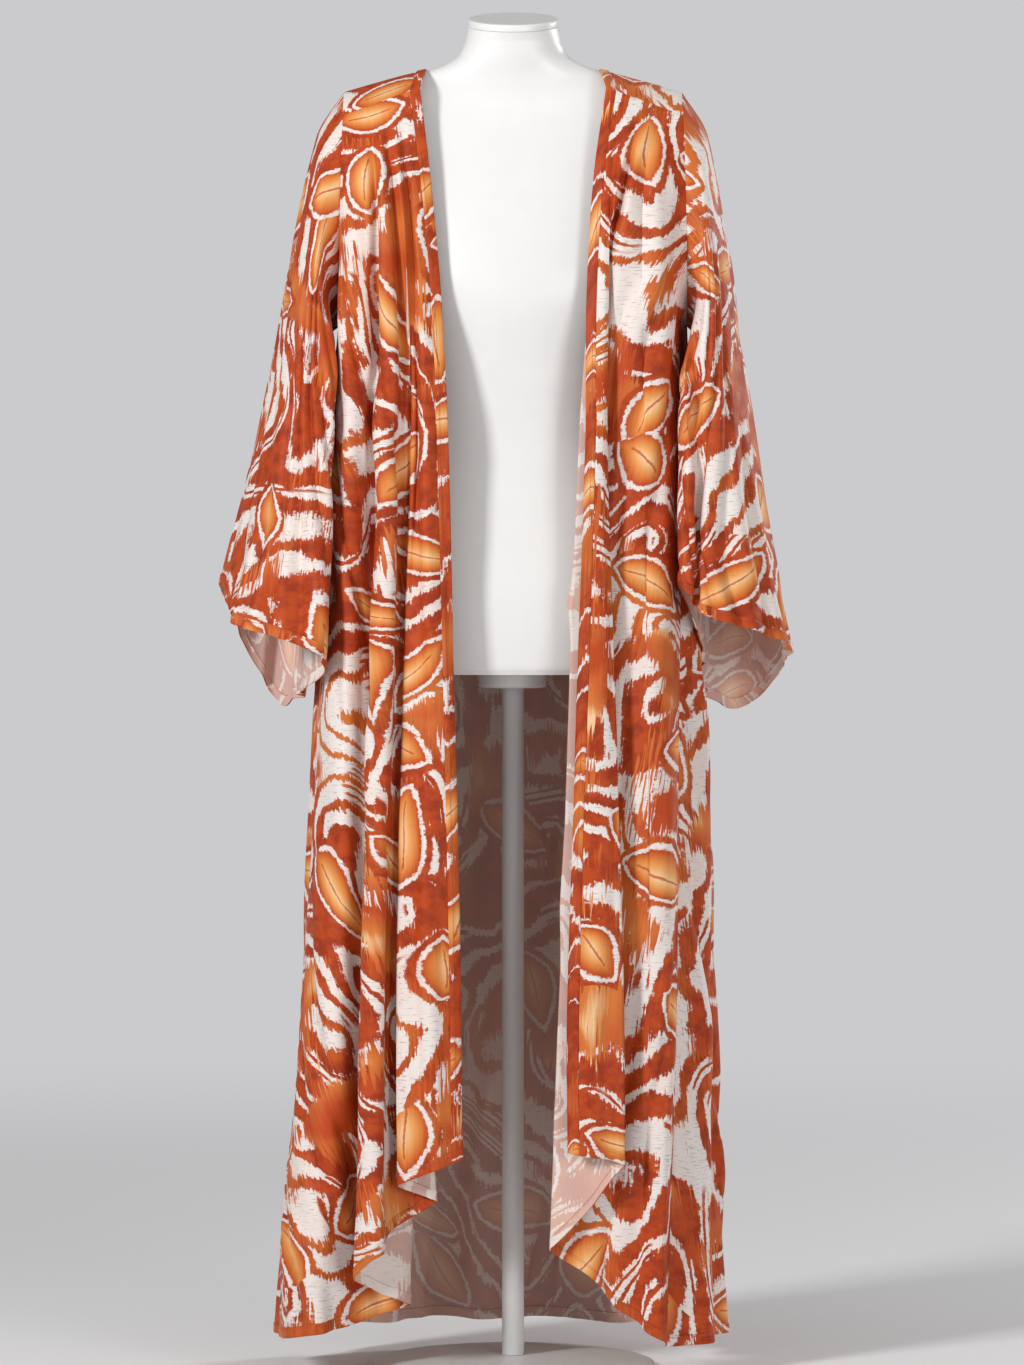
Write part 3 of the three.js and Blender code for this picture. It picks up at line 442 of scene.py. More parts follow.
def ripples(a, b, seed, size, strength, run=9.0):
    """Soft uneven folds, size mm apart across and run times as long down the cloth."""
    rng = np.random.default_rng(seed)
    total = np.zeros_like(a)
    for _ in range(7):
        wave = size * rng.uniform(0.6, 1.7)
        lean = rng.uniform(-1, 1) / run
        phase, drift, swell = rng.uniform(0, 2 * math.pi, 3)
        slow = 0.9 * np.sin(b / (wave * run) * 2.1 + drift)
        fade = 0.5 + 0.5 * np.sin(b / (wave * run * 0.8) + a / (size * 6) + swell)
        total += fade * np.sin(2 * math.pi * (a + b * lean) / wave + phase + slow)
    return strength * total / 2.6


def pipes(a, b, seed, size, strength, fan=0.0, lean=0.0):
    """Rounded folds with narrow valleys between them, running down the cloth and fanning out as they fall."""
    rng = np.random.default_rng(seed)
    wander = sum(
        rng.uniform(0.25, 0.5) * np.sin(2 * math.pi * (a / (size * stretch) + b / run) + rng.uniform(0, 6.28))
        for stretch, run in ((2.3, 900.0), (3.7, 640.0), (5.3, 1500.0))
    )
    turn = math.pi * (a + lean * b) / (size * (1 + fan * b / 1000)) + wander
    swell = 0.62 + 0.38 * np.sin(a / (size * 1.9) + b / 310 + rng.uniform(0, 6.28))
    return strength * swell * (np.sqrt(np.sin(turn) ** 2 + 0.012) - 0.62)


def tree_of(grids):
    """Layers of cloth, given as grids of points in mm, ready for measuring the room between them."""
    verts, faces = [], []
    for points in grids:
        rows, cols = points.shape[:2]
        corner = len(verts) + (np.arange(rows - 1)[:, None] * cols + np.arange(cols - 1)).ravel()
        verts.extend(points.reshape(-1, 3).tolist())
        faces.extend(np.stack([corner, corner + cols, corner + cols + 1, corner + 1], axis=-1).tolist())
    return BVHTree.FromPolygons(verts, faces)


def window(values, reach, pick):
    """The pick, such as the least or the mean, of each value's square neighbourhood."""
    for axis in (0, 1):
        padded = np.pad(values, [(reach, reach) if k == axis else (0, 0) for k in (0, 1)], mode="edge")
        count = values.shape[axis]
        near = [np.take(padded, np.arange(k, k + count), axis=axis) for k in range(2 * reach + 1)]
        values = pick(near, axis=0)
    return values


def within_room(layers, points, n, move, start=1.2, spare=3.3, share=0.38, far=40.0):
    """Moves held to less than half the way to the next layer of cloth."""
    held = {}
    for way in (1, -1):
        room = np.full(move.shape, far)
        for at in np.ndindex(move.shape):
            aim = Vector(n[at]) * way
            found, _, _, distance = layers.ray_cast(Vector(points[at]) + aim * start, aim, far)
            if found is not None:
                room[at] = distance + start
        room = window(window(room, 3, np.min), 3, np.mean)
        limit = np.maximum((room - spare) * share, 0.05)
        held[way] = limit * np.tanh(move / limit)
    return np.where(move > 0, held[1], held[-1])


def linked(name, data):
    obj = bpy.data.objects.new(name, data)
    bpy.context.collection.objects.link(obj)
    return obj


def mesh_of(name, verts, faces, material):
    mesh = bpy.data.meshes.new(name)
    mesh.from_pydata(verts, [], faces)
    mesh.polygons.foreach_set("use_smooth", np.ones(len(faces), bool))
    mesh.materials.append(material)
    return mesh


def add_piece(name, mesh, node=None):
    """A piece that rides on the one body; where node names a solid, it takes its place."""
    obj = linked(name, mesh)
    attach(obj, "root")
    if node:
        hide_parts(node)
    return obj


def cut_of(grids):
    """Width, length and area in metres of the flat cloth that hangs through grids of points in mm."""
    widths = [lengths_along(points, 1)[:, -1].max() for points, _ in grids]
    lengths = [lengths_along(points, 0)[-1].max() for points, _ in grids]
    area = 0
    for points, _ in grids:
        crossed = np.cross(points[1:, 1:] - points[:-1, :-1], points[1:, :-1] - points[:-1, 1:])
        area += np.linalg.norm(crossed, axis=-1).sum() / 2
    return max(widths) / 1000, (lengths[0] + max([0, *lengths[1:]])) / 1000, area / 1e6


def cloth(name, grids, node, materials, thickness=CLOTH_THICK, facing=1, shift=(0, 0)):
    """A sheet of cloth through grids of points with their places on the cloth, thickened to both sides."""
    build = bmesh.new()
    layer = build.loops.layers.uv.new("cloth")
    for points, uv in grids:
        rows, cols = points.shape[:2]
        verts = [build.verts.new(p) for p in (points.reshape(-1, 3) / 1000).tolist()]
        places = (uv.reshape(-1, 2) / 1000 + np.array(shift)).tolist()
        for r in range(rows - 1):
            for c in range(cols - 1):
                i = r * cols + c
                corners = (i, i + cols, i + cols + 1, i + 1)[::facing]
                face = build.faces.new([verts[k] for k in corners])
                face.smooth = True
                for loop, k in zip(face.loops, corners):
                    loop[layer].uv = places[k]
    bmesh.ops.remove_doubles(build, verts=build.verts, dist=0.00004)
    mesh = bpy.data.meshes.new(name)
    build.to_mesh(mesh)
    build.free()
    for material in materials:
        mesh.materials.append(material)
    solid = add_piece(name, mesh, node).modifiers.new("thickness", "SOLIDIFY")
    solid.thickness = thickness / 1000
    solid.offset = 0
    solid.use_even_offset = False
    solid.material_offset = len(materials) - 1
    cut_of(grids)


def groove(distance, seam="side"):
    depth, width = GROOVES[seam]
    return -depth * np.exp(-((distance / width) ** 2))


# Materials
class Graph:
    """Short calls for one material's nodes."""

    def __init__(self, name):
        self.material = bpy.data.materials.new(name)
        self.material.use_nodes = True
        self.tree = self.material.node_tree
        self.tree.nodes.clear()

    def feed(self, socket, value):
        if isinstance(value, bpy.types.NodeSocket):
            self.tree.links.new(value, socket)
        else:
            socket.default_value = value

    def node(self, kind, outputs=0, settings=None, **inputs):
        """One node's output; inputs go by number, as in i0, or by name with _ for a space."""
        node = self.tree.nodes.new(kind)
        for key, value in (settings or {}).items():
            setattr(node, key, value)
        for key, value in inputs.items():
            self.feed(node.inputs[int(key[1:]) if key[1:].isdigit() else key.replace("_", " ")], value)
        return node.outputs[outputs]

    def math(self, operation, a, b=0.0, c=0.0):
        return self.node("ShaderNodeMath", 0, {"operation": operation}, i0=a, i1=b, i2=c)

    def add(self, a, b):
        return self.math("ADD", a, b)

    def times(self, a, b):
        return self.math("MULTIPLY", a, b)

    def centred(self, value):
        return self.math("SUBTRACT", value, 0.5)

    def vector(self, operation, a, b):
        return self.node("ShaderNodeVectorMath", 0, {"operation": operation}, i0=a, i1=b)

    def noise(self, vector, scale, detail=2.0, rough=0.5, outputs=0):
        return self.node(
            "ShaderNodeTexNoise", outputs, None,
            Vector=vector, Scale=scale, Detail=detail, Roughness=rough,
        )

    def ramp(self, value, *stops):
        """A colour ramp through (place, colour) stops."""
        node = self.tree.nodes.new("ShaderNodeValToRGB")
        self.tree.links.new(value, node.inputs[0])
        elements = node.color_ramp.elements
        while len(elements) < len(stops):
            elements.new(0.5)
        for element, (place, colour) in zip(elements, stops):
            element.position = place
            element.color = (*colour, 1)
        return node.outputs[0]

    def span(self, value, low, high, to_low=0.0, to_high=1.0):
        return self.node(
            "ShaderNodeMapRange", 0, {"clamp": True, "interpolation_type": "SMOOTHSTEP"},
            i0=value, i1=low, i2=high, i3=to_low, i4=to_high,
        )

    def blend(self, share, a, b):
        node = self.tree.nodes.new("ShaderNodeMix")
        node.data_type = "RGBA"
        for k, value in ((0, share), (6, a), (7, b)):
            self.feed(node.inputs[k], (*value, 1) if isinstance(value, tuple) else value)
        return node.outputs[2]

    def bump(self, height, strength, distance, normal=None):
        inputs = {"Strength": strength, "Distance": distance, "Height": height}
        if normal is not None:
            inputs["Normal"] = normal
        return self.node("ShaderNodeBump", 0, None, **inputs)

    def surface(self, colour, roughness, normal, **fixed):
        inputs = {"Base_Color": colour, "Roughness": roughness, "Normal": normal, **fixed}
        shader = self.node("ShaderNodeBsdfPrincipled", 0, None, **inputs)
        out = self.tree.nodes.new("ShaderNodeOutputMaterial")
        self.tree.links.new(shader, out.inputs[0])
        return self.material


def colour(red, green, blue):
    """A screen colour, 0 to 255, as scene light."""
    shares = (v / 255 for v in (red, green, blue))
    return tuple(((v + 0.055) / 1.055) ** 2.4 if v > 0.04 else v / 12.92 for v in shares)


IVORY = colour(236, 226, 220)
SLUB = colour(184, 168, 160)
RUST = colour(188, 71, 22)
DEEP_RUST = colour(156, 50, 15)
AMBER = colour(214, 120, 52)
PEACH = colour(242, 200, 150)


def cloth_place(g, across=1.0, down=1.0):
    place = g.node("ShaderNodeUVMap", 0, {"uv_map": "cloth"})
    return g.vector("MULTIPLY", place, (across, down, 1.0))


def streaks(g, across, down, detail=2.0, rough=0.6):
    """Noise drawn out one way, with so many grains in a metre across the cloth and down it."""
    return g.noise(cloth_place(g, across, down), 1.0, detail, rough)


def print_colour(g, inked=0.0):
    """Marbled bands, leaves and brushed patches on a slubby ivory ground; measured in metres of cloth."""
    flat = cloth_place(g)
    coarse = g.noise(flat, 5.5, 1.0, 0.4, outputs=1)
    drift = g.vector("MULTIPLY", g.vector("SUBTRACT", coarse, (0.5, 0.5, 0.5)), (0.13, 0.13, 0.0))
    place = g.vector("ADD", flat, drift)
    jag = g.centred(g.noise(flat, 170.0, 3.0, 0.7))
    hairs = g.centred(streaks(g, 330.0, 22.0))
    stretch = {"Rotation": (0.0, 0.0, 0.9), "Scale": (360.0, 20.0, 1.0)}
    leaning = g.centred(g.noise(g.node("ShaderNodeMapping", 0, None, Vector=flat, **stretch), 1.0, 2.0, 0.6))
    broad = g.noise(place, 6.0, 1.0, 0.4)

    # Marbled bands run along the level lines of a slow field.
    slow = g.times(g.noise(place, 6.2, 0.0, 0.5), 8.6)
    field = g.add(g.add(slow, g.times(g.noise(flat, 24.0, 1.0, 0.5), 0.9)), g.times(jag, 0.34))
    field = g.add(field, g.times(leaning, 0.42))
    bands = g.math("PINGPONG", field, 0.5)
    width = g.span(broad, 0.36, 0.64, 0.12 - 0.09 * inked, 0.36 - 0.26 * inked)
    band_ink = g.span(g.math("SUBTRACT", bands, width), -0.025, 0.025)
    thin = g.math("PINGPONG", g.add(g.times(slow, 3.6), g.times(jag, 0.55)), 0.5)
    thin_ink = g.times(g.span(thin, 0.27, 0.33), g.span(g.noise(flat, 11.0, 0.0, 0.5), 0.54, 0.57))

    # Leaves, each turned its own way: a glowing middle with a rib, a rust rim, a pale ring and a second ring.
    cell = g.tree.nodes.new("ShaderNodeTexVoronoi")
    cell.voronoi_dimensions = "2D"
    g.tree.links.new(place, cell.inputs["Vector"])
    cell.inputs["Scale"].default_value = 9.4
    cell.inputs["Randomness"].default_value = 0.7
    chance = g.node("ShaderNodeSeparateColor", 0, None, Color=cell.outputs["Color"])
    angle = g.times(g.node("ShaderNodeSeparateColor", 1, None, Color=cell.outputs["Color"]), 6.283)
    local = g.vector("SUBTRACT", place, cell.outputs["Position"])
    local = g.node("ShaderNodeVectorRotate", 0, {"rotation_type": "Z_AXIS"}, Vector=local, Angle=angle)
    aside = g.math("ABSOLUTE", g.node("ShaderNodeSeparateXYZ", 0, None, Vector=local))
    lengthways = g.node("ShaderNodeSeparateXYZ", 1, None, Vector=local)
    radius = g.add(0.037, g.times(chance, 0.022))
    out = g.add(aside, g.times(radius, 0.6))
    far = g.math("SQRT", g.add(g.times(out, out), g.times(lengthways, lengthways)))
    wobble = g.times(g.centred(g.noise(flat, 34.0, 1.0, 0.5)), 0.12)
    round_leaf = g.math("DIVIDE", far, radius)
    reach = g.add(g.add(round_leaf, g.times(jag, 0.16)), g.add(wobble, g.times(leaning, 0.05)))
    soft = g.math("DIVIDE", g.math("SUBTRACT", g.add(round_leaf, g.times(leaning, 0.10)), 0.6), 0.4)
    glow = g.ramp(soft, (0.05, PEACH), (0.38, colour(232, 160, 90)), (0.70, AMBER), (0.97, RUST))
    rib = g.span(g.add(aside, g.times(jag, 0.003)), 0.0007, 0.0014, 0.8, 0.0)
    rib = g.times(rib, g.span(soft, 0.45, 0.6, 1.0, 0.0))
    glow = g.blend(rib, glow, RUST)
    is_leaf = g.span(chance, 0.46, 0.47)
    core = g.times(is_leaf, g.span(reach, 0.985, 1.015, 1.0, 0.0))
    ring_gap = g.times(is_leaf, g.span(reach, 1.07, 1.10, 1.0, 0.0))
    ring_ink = g.times(is_leaf, g.span(reach, 1.20, 1.24, 1.0, 0.0))

    # Brushed patches fade from rust to peach and end in fringes.
    patch_field = g.add(g.noise(place, 8.4, 1.0, 0.45), g.add(g.times(hairs, 0.12), g.times(leaning, 0.30)))
    patch = g.span(patch_field, 0.592, 0.612)
    tone_field = g.add(g.noise(place, 15.0, 1.0, 0.5), g.times(leaning, 0.22))
    patch_tone = g.ramp(tone_field, (0.36, RUST), (0.52, colour(204, 102, 46)), (0.64, AMBER), (0.76, PEACH))

    ink = g.blend(g.span(g.noise(flat, 44.0, 4.0, 0.65), 0.36, 0.6), DEEP_RUST, RUST)
    ink = g.blend(g.span(g.add(broad, g.times(leaning, 0.3)), 0.50, 0.70, 0.0, 0.75), ink, AMBER)
    slub = g.span(streaks(g, 80.0, 640.0), 0.56, 0.68)
    ground = g.blend(g.times(slub, 0.85), IVORY, SLUB)
    ground = g.blend(g.span(g.noise(flat, 8.0), 0.4, 0.75, 0.0, 0.35), ground, colour(236, 206, 190))
    result = g.blend(band_ink, ground, ink)
    result = g.blend(thin_ink, result, ink)
    result = g.blend(patch, result, patch_tone)
    result = g.blend(ring_ink, result, ink)
    result = g.blend(ring_gap, result, ground)
    result = g.blend(core, result, glow)
    specks = g.span(streaks(g, 110.0, 700.0), 0.62, 0.76)
    return g.blend(g.times(specks, 0.34), result, colour(128, 62, 36)), ground


def weave_height(g):
    threads = [
        g.node("ShaderNodeTexWave", 1, {"bands_direction": axis}, Vector=cloth_place(g), Scale=230.0)
        for axis in ("X", "Y")
    ]
    warp, weft = (g.times(thread, 0.4) for thread in threads)
    return g.add(g.add(warp, weft), g.times(streaks(g, 120.0, 1300.0), 1.6))


def right_side(name, inked=0.0):
    g = Graph(name)
    tint, _ = print_colour(g, inked)
    weave = g.bump(weave_height(g), 0.28, 0.00022)
    crumple = g.bump(streaks(g, 26.0, 9.0, 3.0, 0.55), 0.22, 0.006, weave)
    rough = g.span(g.noise(cloth_place(g), 60.0, 2.0), 0.3, 0.7, 0.50, 0.64)
    return g.surface(tint, rough, crumple, Sheen_Weight=0.05, Sheen_Roughness=0.4, Specular_IOR_Level=0.24)


def wrong_side():
    g = Graph("printed cloth wrong side")
    tint, ground = print_colour(g)
    pale = g.blend(0.52, tint, colour(234, 220, 210))
    rough = g.span(g.noise(cloth_place(g), 60.0, 2.0), 0.3, 0.7, 0.60, 0.72)
    weave = g.bump(weave_height(g), 0.28, 0.00022)
    return g.surface(pale, rough, weave, Sheen_Weight=0.15, Sheen_Roughness=0.5)


def thread():
    g = Graph("sewing thread")
    place = g.node("ShaderNodeNewGeometry")
    twist = g.node("ShaderNodeTexWave", 1, {"bands_direction": "DIAGONAL"}, Vector=place, Scale=900.0)
    tint = g.blend(g.times(twist, 0.4), colour(176, 74, 36), colour(214, 118, 70))
    return g.surface(tint, 0.6, g.bump(twist, 0.3, 0.0001), Sheen_Weight=0.1)


def plastic(name, red, green, blue, rough):
    g = Graph(name)
    place = g.node("ShaderNodeNewGeometry")
    mottle = g.noise(place, 38.0, 3.0, 0.5)
    shade = colour(red - 6, green - 6, blue - 5)
    tint = g.blend(g.span(mottle, 0.3, 0.7, 0.0, 0.35), colour(red, green, blue), shade)
    peel = g.bump(g.noise(place, 420.0, 2.0, 0.5), 0.05, 0.0004)
    rough = g.span(mottle, 0.3, 0.7, rough - 0.03, rough + 0.05)
    return g.surface(tint, rough, peel, Coat_Weight=0.12, Coat_Roughness=0.25)


wrong_cloth, sewing = wrong_side(), thread()
CLOTH_SIDES = [right_side("printed cloth"), wrong_cloth]
BAND_SIDES = [right_side("printed band cloth", 1.0), wrong_cloth]
FRONTS = {RIGHT: Front(RIGHT), LEFT: Front(LEFT)}
# Pieces of cloth
def panel_rows(count):
    """Rows down a front or the back, closer together at the seams."""
    return [[0, 0.0008, 0.002, 0.0045], np.linspace(0.008, 0.988, count), [0.9955, 0.998, 0.9992, 1]]


def down_rows(panel, band_share):
    """Shares of the fall for a panel's rows and its band's rows, and the number of the row between them."""
    panel = np.concatenate(panel)
    band = np.array(BAND_ROWS)[1:, None]
    falls = [panel[:, None] * band_share, band_share + (1 - band_share) * band]
    return np.concatenate(falls), len(panel) - 1


def pucker(along, strength=0.22):
    """The small gathers that a line of stitching draws into light cloth."""
    slow = np.sin(along / 7.3 * 2 * math.pi)
    return strength * (slow + 0.6 * np.sin(along / 4.7 * 2 * math.pi + 1.3 * np.sin(along / 41)))


def crown(shares, height=HEM_CROWN):
    return height * (1 - (2 * np.asarray(shares) - 1) ** 4)


def plain_layers():
    """Every panel as it hangs, before its small folds."""
    fall = np.linspace(0, 1, 140)[:, None]
    grids = []
    for side in (RIGHT, LEFT):
        u = np.arange(0, FRONTS[side].count + 0.01, 0.1)
        grids.append(FRONTS[side].at(u[None, :], fall))
    share = np.linspace(0, 1, 181)[None, :]
    grids.append(back(share + 0 * fall, fall))
    grids += [sleeve(side, 180 + 360 * share + 0 * fall, fall)[0] for side in (RIGHT, LEFT)]
    return grids


LAYERS = tree_of(plain_layers())


def bound_edge(move, a, b, row, where, height=HEM_CROWN):
    """The moves with a sewn edge: its seam and gathers at this row, and the rounded band below."""
    seam = b[row : row + 1]
    from_seam = np.abs(b - seam)
    gathers = pucker(a) * np.exp(-((from_seam / GATHER_REACH) ** 2)) * where
    share = np.clip((b - seam) / np.maximum(b[-1:] - seam, 1e-6), 0, 1)
    return move + groove(from_seam, "hem") + gathers + crown(share, height) * (b > seam)


def front_piece(side):
    """A front with its strip of the front band, up to column seam, and its hem band, from this row."""
    front = FRONTS[side]
    count, step = front.count, 1 / 9
    body = np.arange(1 + 2 * step, count - 1.5 * step, step)
    u = np.concatenate([BAND_U, 1 + EDGE_U, body, count - EDGE_U[::-1], [count]])
    falls, row = down_rows(panel_rows(270), (1 - BAND / front.height(u))[None, :])
    points = front.at(u[None, :], falls)
    a, b = lengths_along(points, 1), lengths_along(points, 0)
    seam = len(BAND_U) - 1
    to_side = a[:, -1:] - a
    past_band = a - a[:, seam : seam + 1]
    to_band = np.abs(past_band)
    n = normals_of(points) * side
    move = ripples(a, b, 11 + side, size=46, strength=1.2)
    move = move * smooth(b / 160) * smooth(to_side / 30) * smooth(to_band / 26)
    inside_band = mix(0.3, 1.0, smooth(past_band / 30)) * smooth(to_side / 26)
    hang = smooth((b - 10) / 240)
    move = move + pipes(a, b, 15 + side, size=42, strength=11.0, fan=0.25) * hang * inside_band
    for valley in VALLEYS[side]:
        from_valley = u[None, :] - valley
        trough = np.exp(-((from_valley / VALLEY["width"]) ** 2))
        swell = VALLEY["swell"] * np.exp(-((from_valley / VALLEY["swell_width"]) ** 2))
        move = move + VALLEY["depth"] * (swell - trough) * smooth((b - 6) / 150) * inside_band
    move = within_room(LAYERS, points, n, move)
    fine = ripples(a, b, 31 + side, size=21, strength=0.45, run=6)
    move = move + fine * smooth(to_side / 20) * smooth(to_band / 16) * smooth(b / 60)
    move = move + groove(to_side) + groove(to_band, "front band") + groove(b, "shoulder")
    move = bound_edge(move, a, b, row, smooth(to_band / 8))
    move[:, : seam + 1] += crown(np.clip(a[:, : seam + 1] / a[:, seam : seam + 1], 0, 1), FRONT_CROWN)
    points = points + n * move[..., None]
    uv = np.stack([front.flat(u, points[..., 2]), PRINT_TOP_Z - points[..., 2]], axis=-1)
    return points, uv, n, row, seam


def back_piece():
    """The back with its hem band, from this row, and the places t of its columns."""
    end = np.concatenate([[0, 0.001, 0.003, 0.006], np.linspace(0.011, 0.236, 36)])
    corner = np.array([0.243, 0.2465, 0.249, 0.25])
    t = np.concatenate([end, corner, np.linspace(0.256, 0.744, 78), 1 - corner[::-1], 1 - end[::-1]])
    falls, row = down_rows(panel_rows(232), (1 - BAND / (nape_row(t)[:, 2] - HEM_Z))[None, :])
    points = back(t[None, :] + 0 * falls, falls)
    a, b = lengths_along(points, 1), lengths_along(points, 0)
    to_side = np.minimum(a, a[:, -1:] - a)
    n = normals_of(points) * -1
    hang, low_hang = smooth((b - 60) / 300), smooth((b - 120) / 520)
    move = ripples(a, b, 5, size=60, strength=1.4) * hang * smooth(to_side / 34)
    move = move + pipes(a, b, 9, size=56, strength=15.0, fan=0.15) * low_hang * smooth(to_side / 34)
    move = within_room(LAYERS, points, n, move)
    move = move + ripples(a, b, 6, size=24, strength=0.45, run=6) * hang * smooth(to_side / 24)
    move = bound_edge(move + groove(to_side), a, b, row, smooth(to_side / 8))
    neck = (t > STRAP_SHARE) & (t < 1 - STRAP_SHARE)
    move = move + groove(b, "nape") * neck[None, :]
    points = points + n * move[..., None]
    uv = np.stack([a - a[:, -1:] / 2, b], axis=-1)
    return points, uv, n, row, t


def strap_piece(side, t):
    """One shoulder, from the forward seam over the ridge to the nape row, in the back's own columns."""
    near_seam = FRONT_TURN - np.array([0, 0.6, 1.3, 2.4])
    turn = np.concatenate([near_seam, np.linspace(FRONT_TURN - 4, NAPE_TURN, 34)])
    share = t / STRAP_SHARE if side == RIGHT else (1 - t) / STRAP_SHARE
    points = strap(side, share[None, :], turn[:, None])
    a, b = lengths_along(points, 1), lengths_along(points, 0)
    rest = a[:, -1:] - a
    n = normals_of(points) * -1
    ends = smooth(a / 20) * smooth(rest / 20) * smooth(b / 16) * smooth((b[-1:] - b) / 16)
    to_arm, to_neck = (a, rest) if side == RIGHT else (rest, a)
    move = groove(b, "shoulder") + groove(to_arm) + groove(to_neck, "front band")
    move = move + ripples(b, a, 21 + side, size=40, strength=0.5, run=3) * ends
    points = points + n * move[..., None]
    across = a if side == RIGHT else -rest
    return points, np.stack([across, b - b[-1:]], axis=-1)


def sleeve_piece(side):
    """A sleeve, all round from the underarm, with its cuff band, from this row."""
    turn = np.linspace(180, 540, 169)
    rows = [[0, 0.0015, 0.004, 0.008], np.linspace(0.014, 0.985, 140), [0.994, 0.9975, 0.999, 1]]
    total = sleeve(side, turn, np.zeros_like(turn))[1]
    shares, row = down_rows(rows, (1 - BAND / total)[None, :])
    points, _ = sleeve(side, turn[None, :] + 0 * shares, shares)
    a, b = lengths_along(points, 1), lengths_along(points, 0)
    n = normals_of(points[:, :-1], closed=True)
    n = np.concatenate([n, n[:, :1]], axis=1) * -side
    around = (turn - 180) / 360
    fade = smooth(np.minimum(around, 1 - around) / 0.1)[None, :]
    move = ripples(a, b, 41 + side, size=52, strength=1.4) * smooth((b - 10) / 150) * fade
    move = move + pipes(a, b, 44 + side, size=40, strength=13, fan=0.7) * smooth((b - 10) / 170) * fade
    move = within_room(LAYERS, points, n, move)
    move = move + ripples(a, b, 61 + side, size=23, strength=0.45, run=6) * smooth(b / 50) * fade
    move = bound_edge(move + groove(b, "armhole"), a, b, row, fade, CUFF_CROWN)
    points = points + n * move[..., None]
    fall = UNDERARM_FALL
    near = np.exp(-(((around - fall["at"] - 0.5) / fall["spread"]) ** 2))[None, :]
    near = near * np.exp(-(((points[..., 2] - fall["z"]) / fall["reach"]) ** 2)) * smooth(b / 60)
    points = points - near[..., None] * np.array([side * fall["inward"], fall["forward"], 0])
    points[:, -1] = points[:, 0]
    middle = a[(row + 1) // 2][None, :] + 0 * a
    return points, np.stack([middle, (SHOULDER_Z - points[..., 2]) * SLEEVE_PRINT_STRETCH], axis=-1), n, row


stitch_lines = []


def sew(names, nodes, sheet, facing, shift=(0, 0), band_shift=(0, 0), more=()):
    """A panel, the band along its end, and the line where the band's stitching goes later."""
    points, uv, n, row = sheet
    panel = [(points[: row + 1], uv[: row + 1]), *more]
    cloth(names[0], panel, nodes[0], CLOTH_SIDES, facing=facing, shift=shift)
    cloth(names[1], [(points[row:], uv[row:])], nodes[1], BAND_SIDES, BAND_THICK, facing, band_shift)
    stitch_lines.append((names[2], points[row + 2], n[row + 2]))


front_edges = {}
for side in (RIGHT, LEFT):
    word = SIDE_NAMES[side]
    points, uv, n, row, seam = front_piece(side)
    front_edges[side] = (points[:, : seam + 1], n[:, : seam + 1])
    body = (points[:, seam:], uv[:, seam:], n[:, seam:], row)
    names = (f"front_cloth_{word}", f"hem_band_cloth_{word}", f"hem_stitching_{word}")
    sew(names, (f"front_{word}", "hem_band"), body, side, FRONT_PRINT[side], FRONT_PRINT[side])
    cuff_print = tuple(at + step for at, step in zip(SLEEVE_PRINT[side], CUFF_PRINT_STEP))
    names = (f"sleeve_cloth_{word}", f"cuff_band_cloth_{word}", f"cuff_stitching_{word}")
    nodes = (f"sleeve_{word}", f"cuff_band_{word}")
    sew(names, nodes, sleeve_piece(side), -side, SLEEVE_PRINT[side], cuff_print)

*back_sheet, t = back_piece()
straps = []
for side, columns in ((RIGHT, t <= STRAP_SHARE + 1e-9), (LEFT, t >= 1 - STRAP_SHARE - 1e-9)):
    strap_points, strap_uv = strap_piece(side, t[columns])
    corner_uv = back_sheet[1][0, columns][:1] if side == RIGHT else back_sheet[1][0, columns][-1:]
    straps.append((strap_points, strap_uv + corner_uv))
names = ("back_cloth", "hem_band_cloth_back", "hem_stitching_back")
sew(names, ("back", "hem_band"), back_sheet, -1, more=straps)

# The front band over the shoulders and round the neck, between its two front stretches.
NAPE_BAND_WAY = np.array([0, -1.5, 12.0])
over = np.subtract(EDGE_NECK, SEAM_NECK)
halves = []
for side in (RIGHT, LEFT):
    turns = np.linspace(FRONT_TURN, NAPE_TURN, 44)[1:]
    inward = np.linspace(STRAP_SHARE, 0.5, 34)[1:]
    seam = np.concatenate([strap(side, 1.0, turns), nape_row(inward if side == RIGHT else 1 - inward)])
    run = lengths_along(seam, 0)
    corner = run[len(turns) - 1]
    upright = smooth((run - corner + 42) / 84)[:, None]
    way = mix(over * np.array([side, 1, 1]), NAPE_BAND_WAY, upright)
    way = way / np.linalg.norm(way, axis=1, keepdims=True) * mix(np.linalg.norm(over), BAND, upright)
    halves.append(seam[:, None, :] + way[:, None, :] * (1 - BAND_U)[None, :, None])
collar = np.concatenate([halves[0], halves[1][::-1][1:]])
collar_n = normals_of(collar)
collar_move = crown(BAND_U, FRONT_CROWN) + groove((1 - BAND_U) * BAND, "front band")
collar = collar + collar_n * collar_move[None, :, None]
band_points = np.concatenate([front_edges[RIGHT][0][::-1], collar, front_edges[LEFT][0]])
band_normals = np.concatenate([front_edges[RIGHT][1][::-1], collar_n, front_edges[LEFT][1]])
band_uv = np.stack([lengths_along(band_points, 1), lengths_along(band_points, 0)], axis=-1)
band_grids = [(band_points, band_uv)]
cloth("front_band_cloth", band_grids, "front_band", BAND_SIDES, FRONT_BAND_THICK, shift=BAND_PRINT)
stitch_lines.append(("front_band_stitching", band_points[:, 4], band_normals[:, 4]))


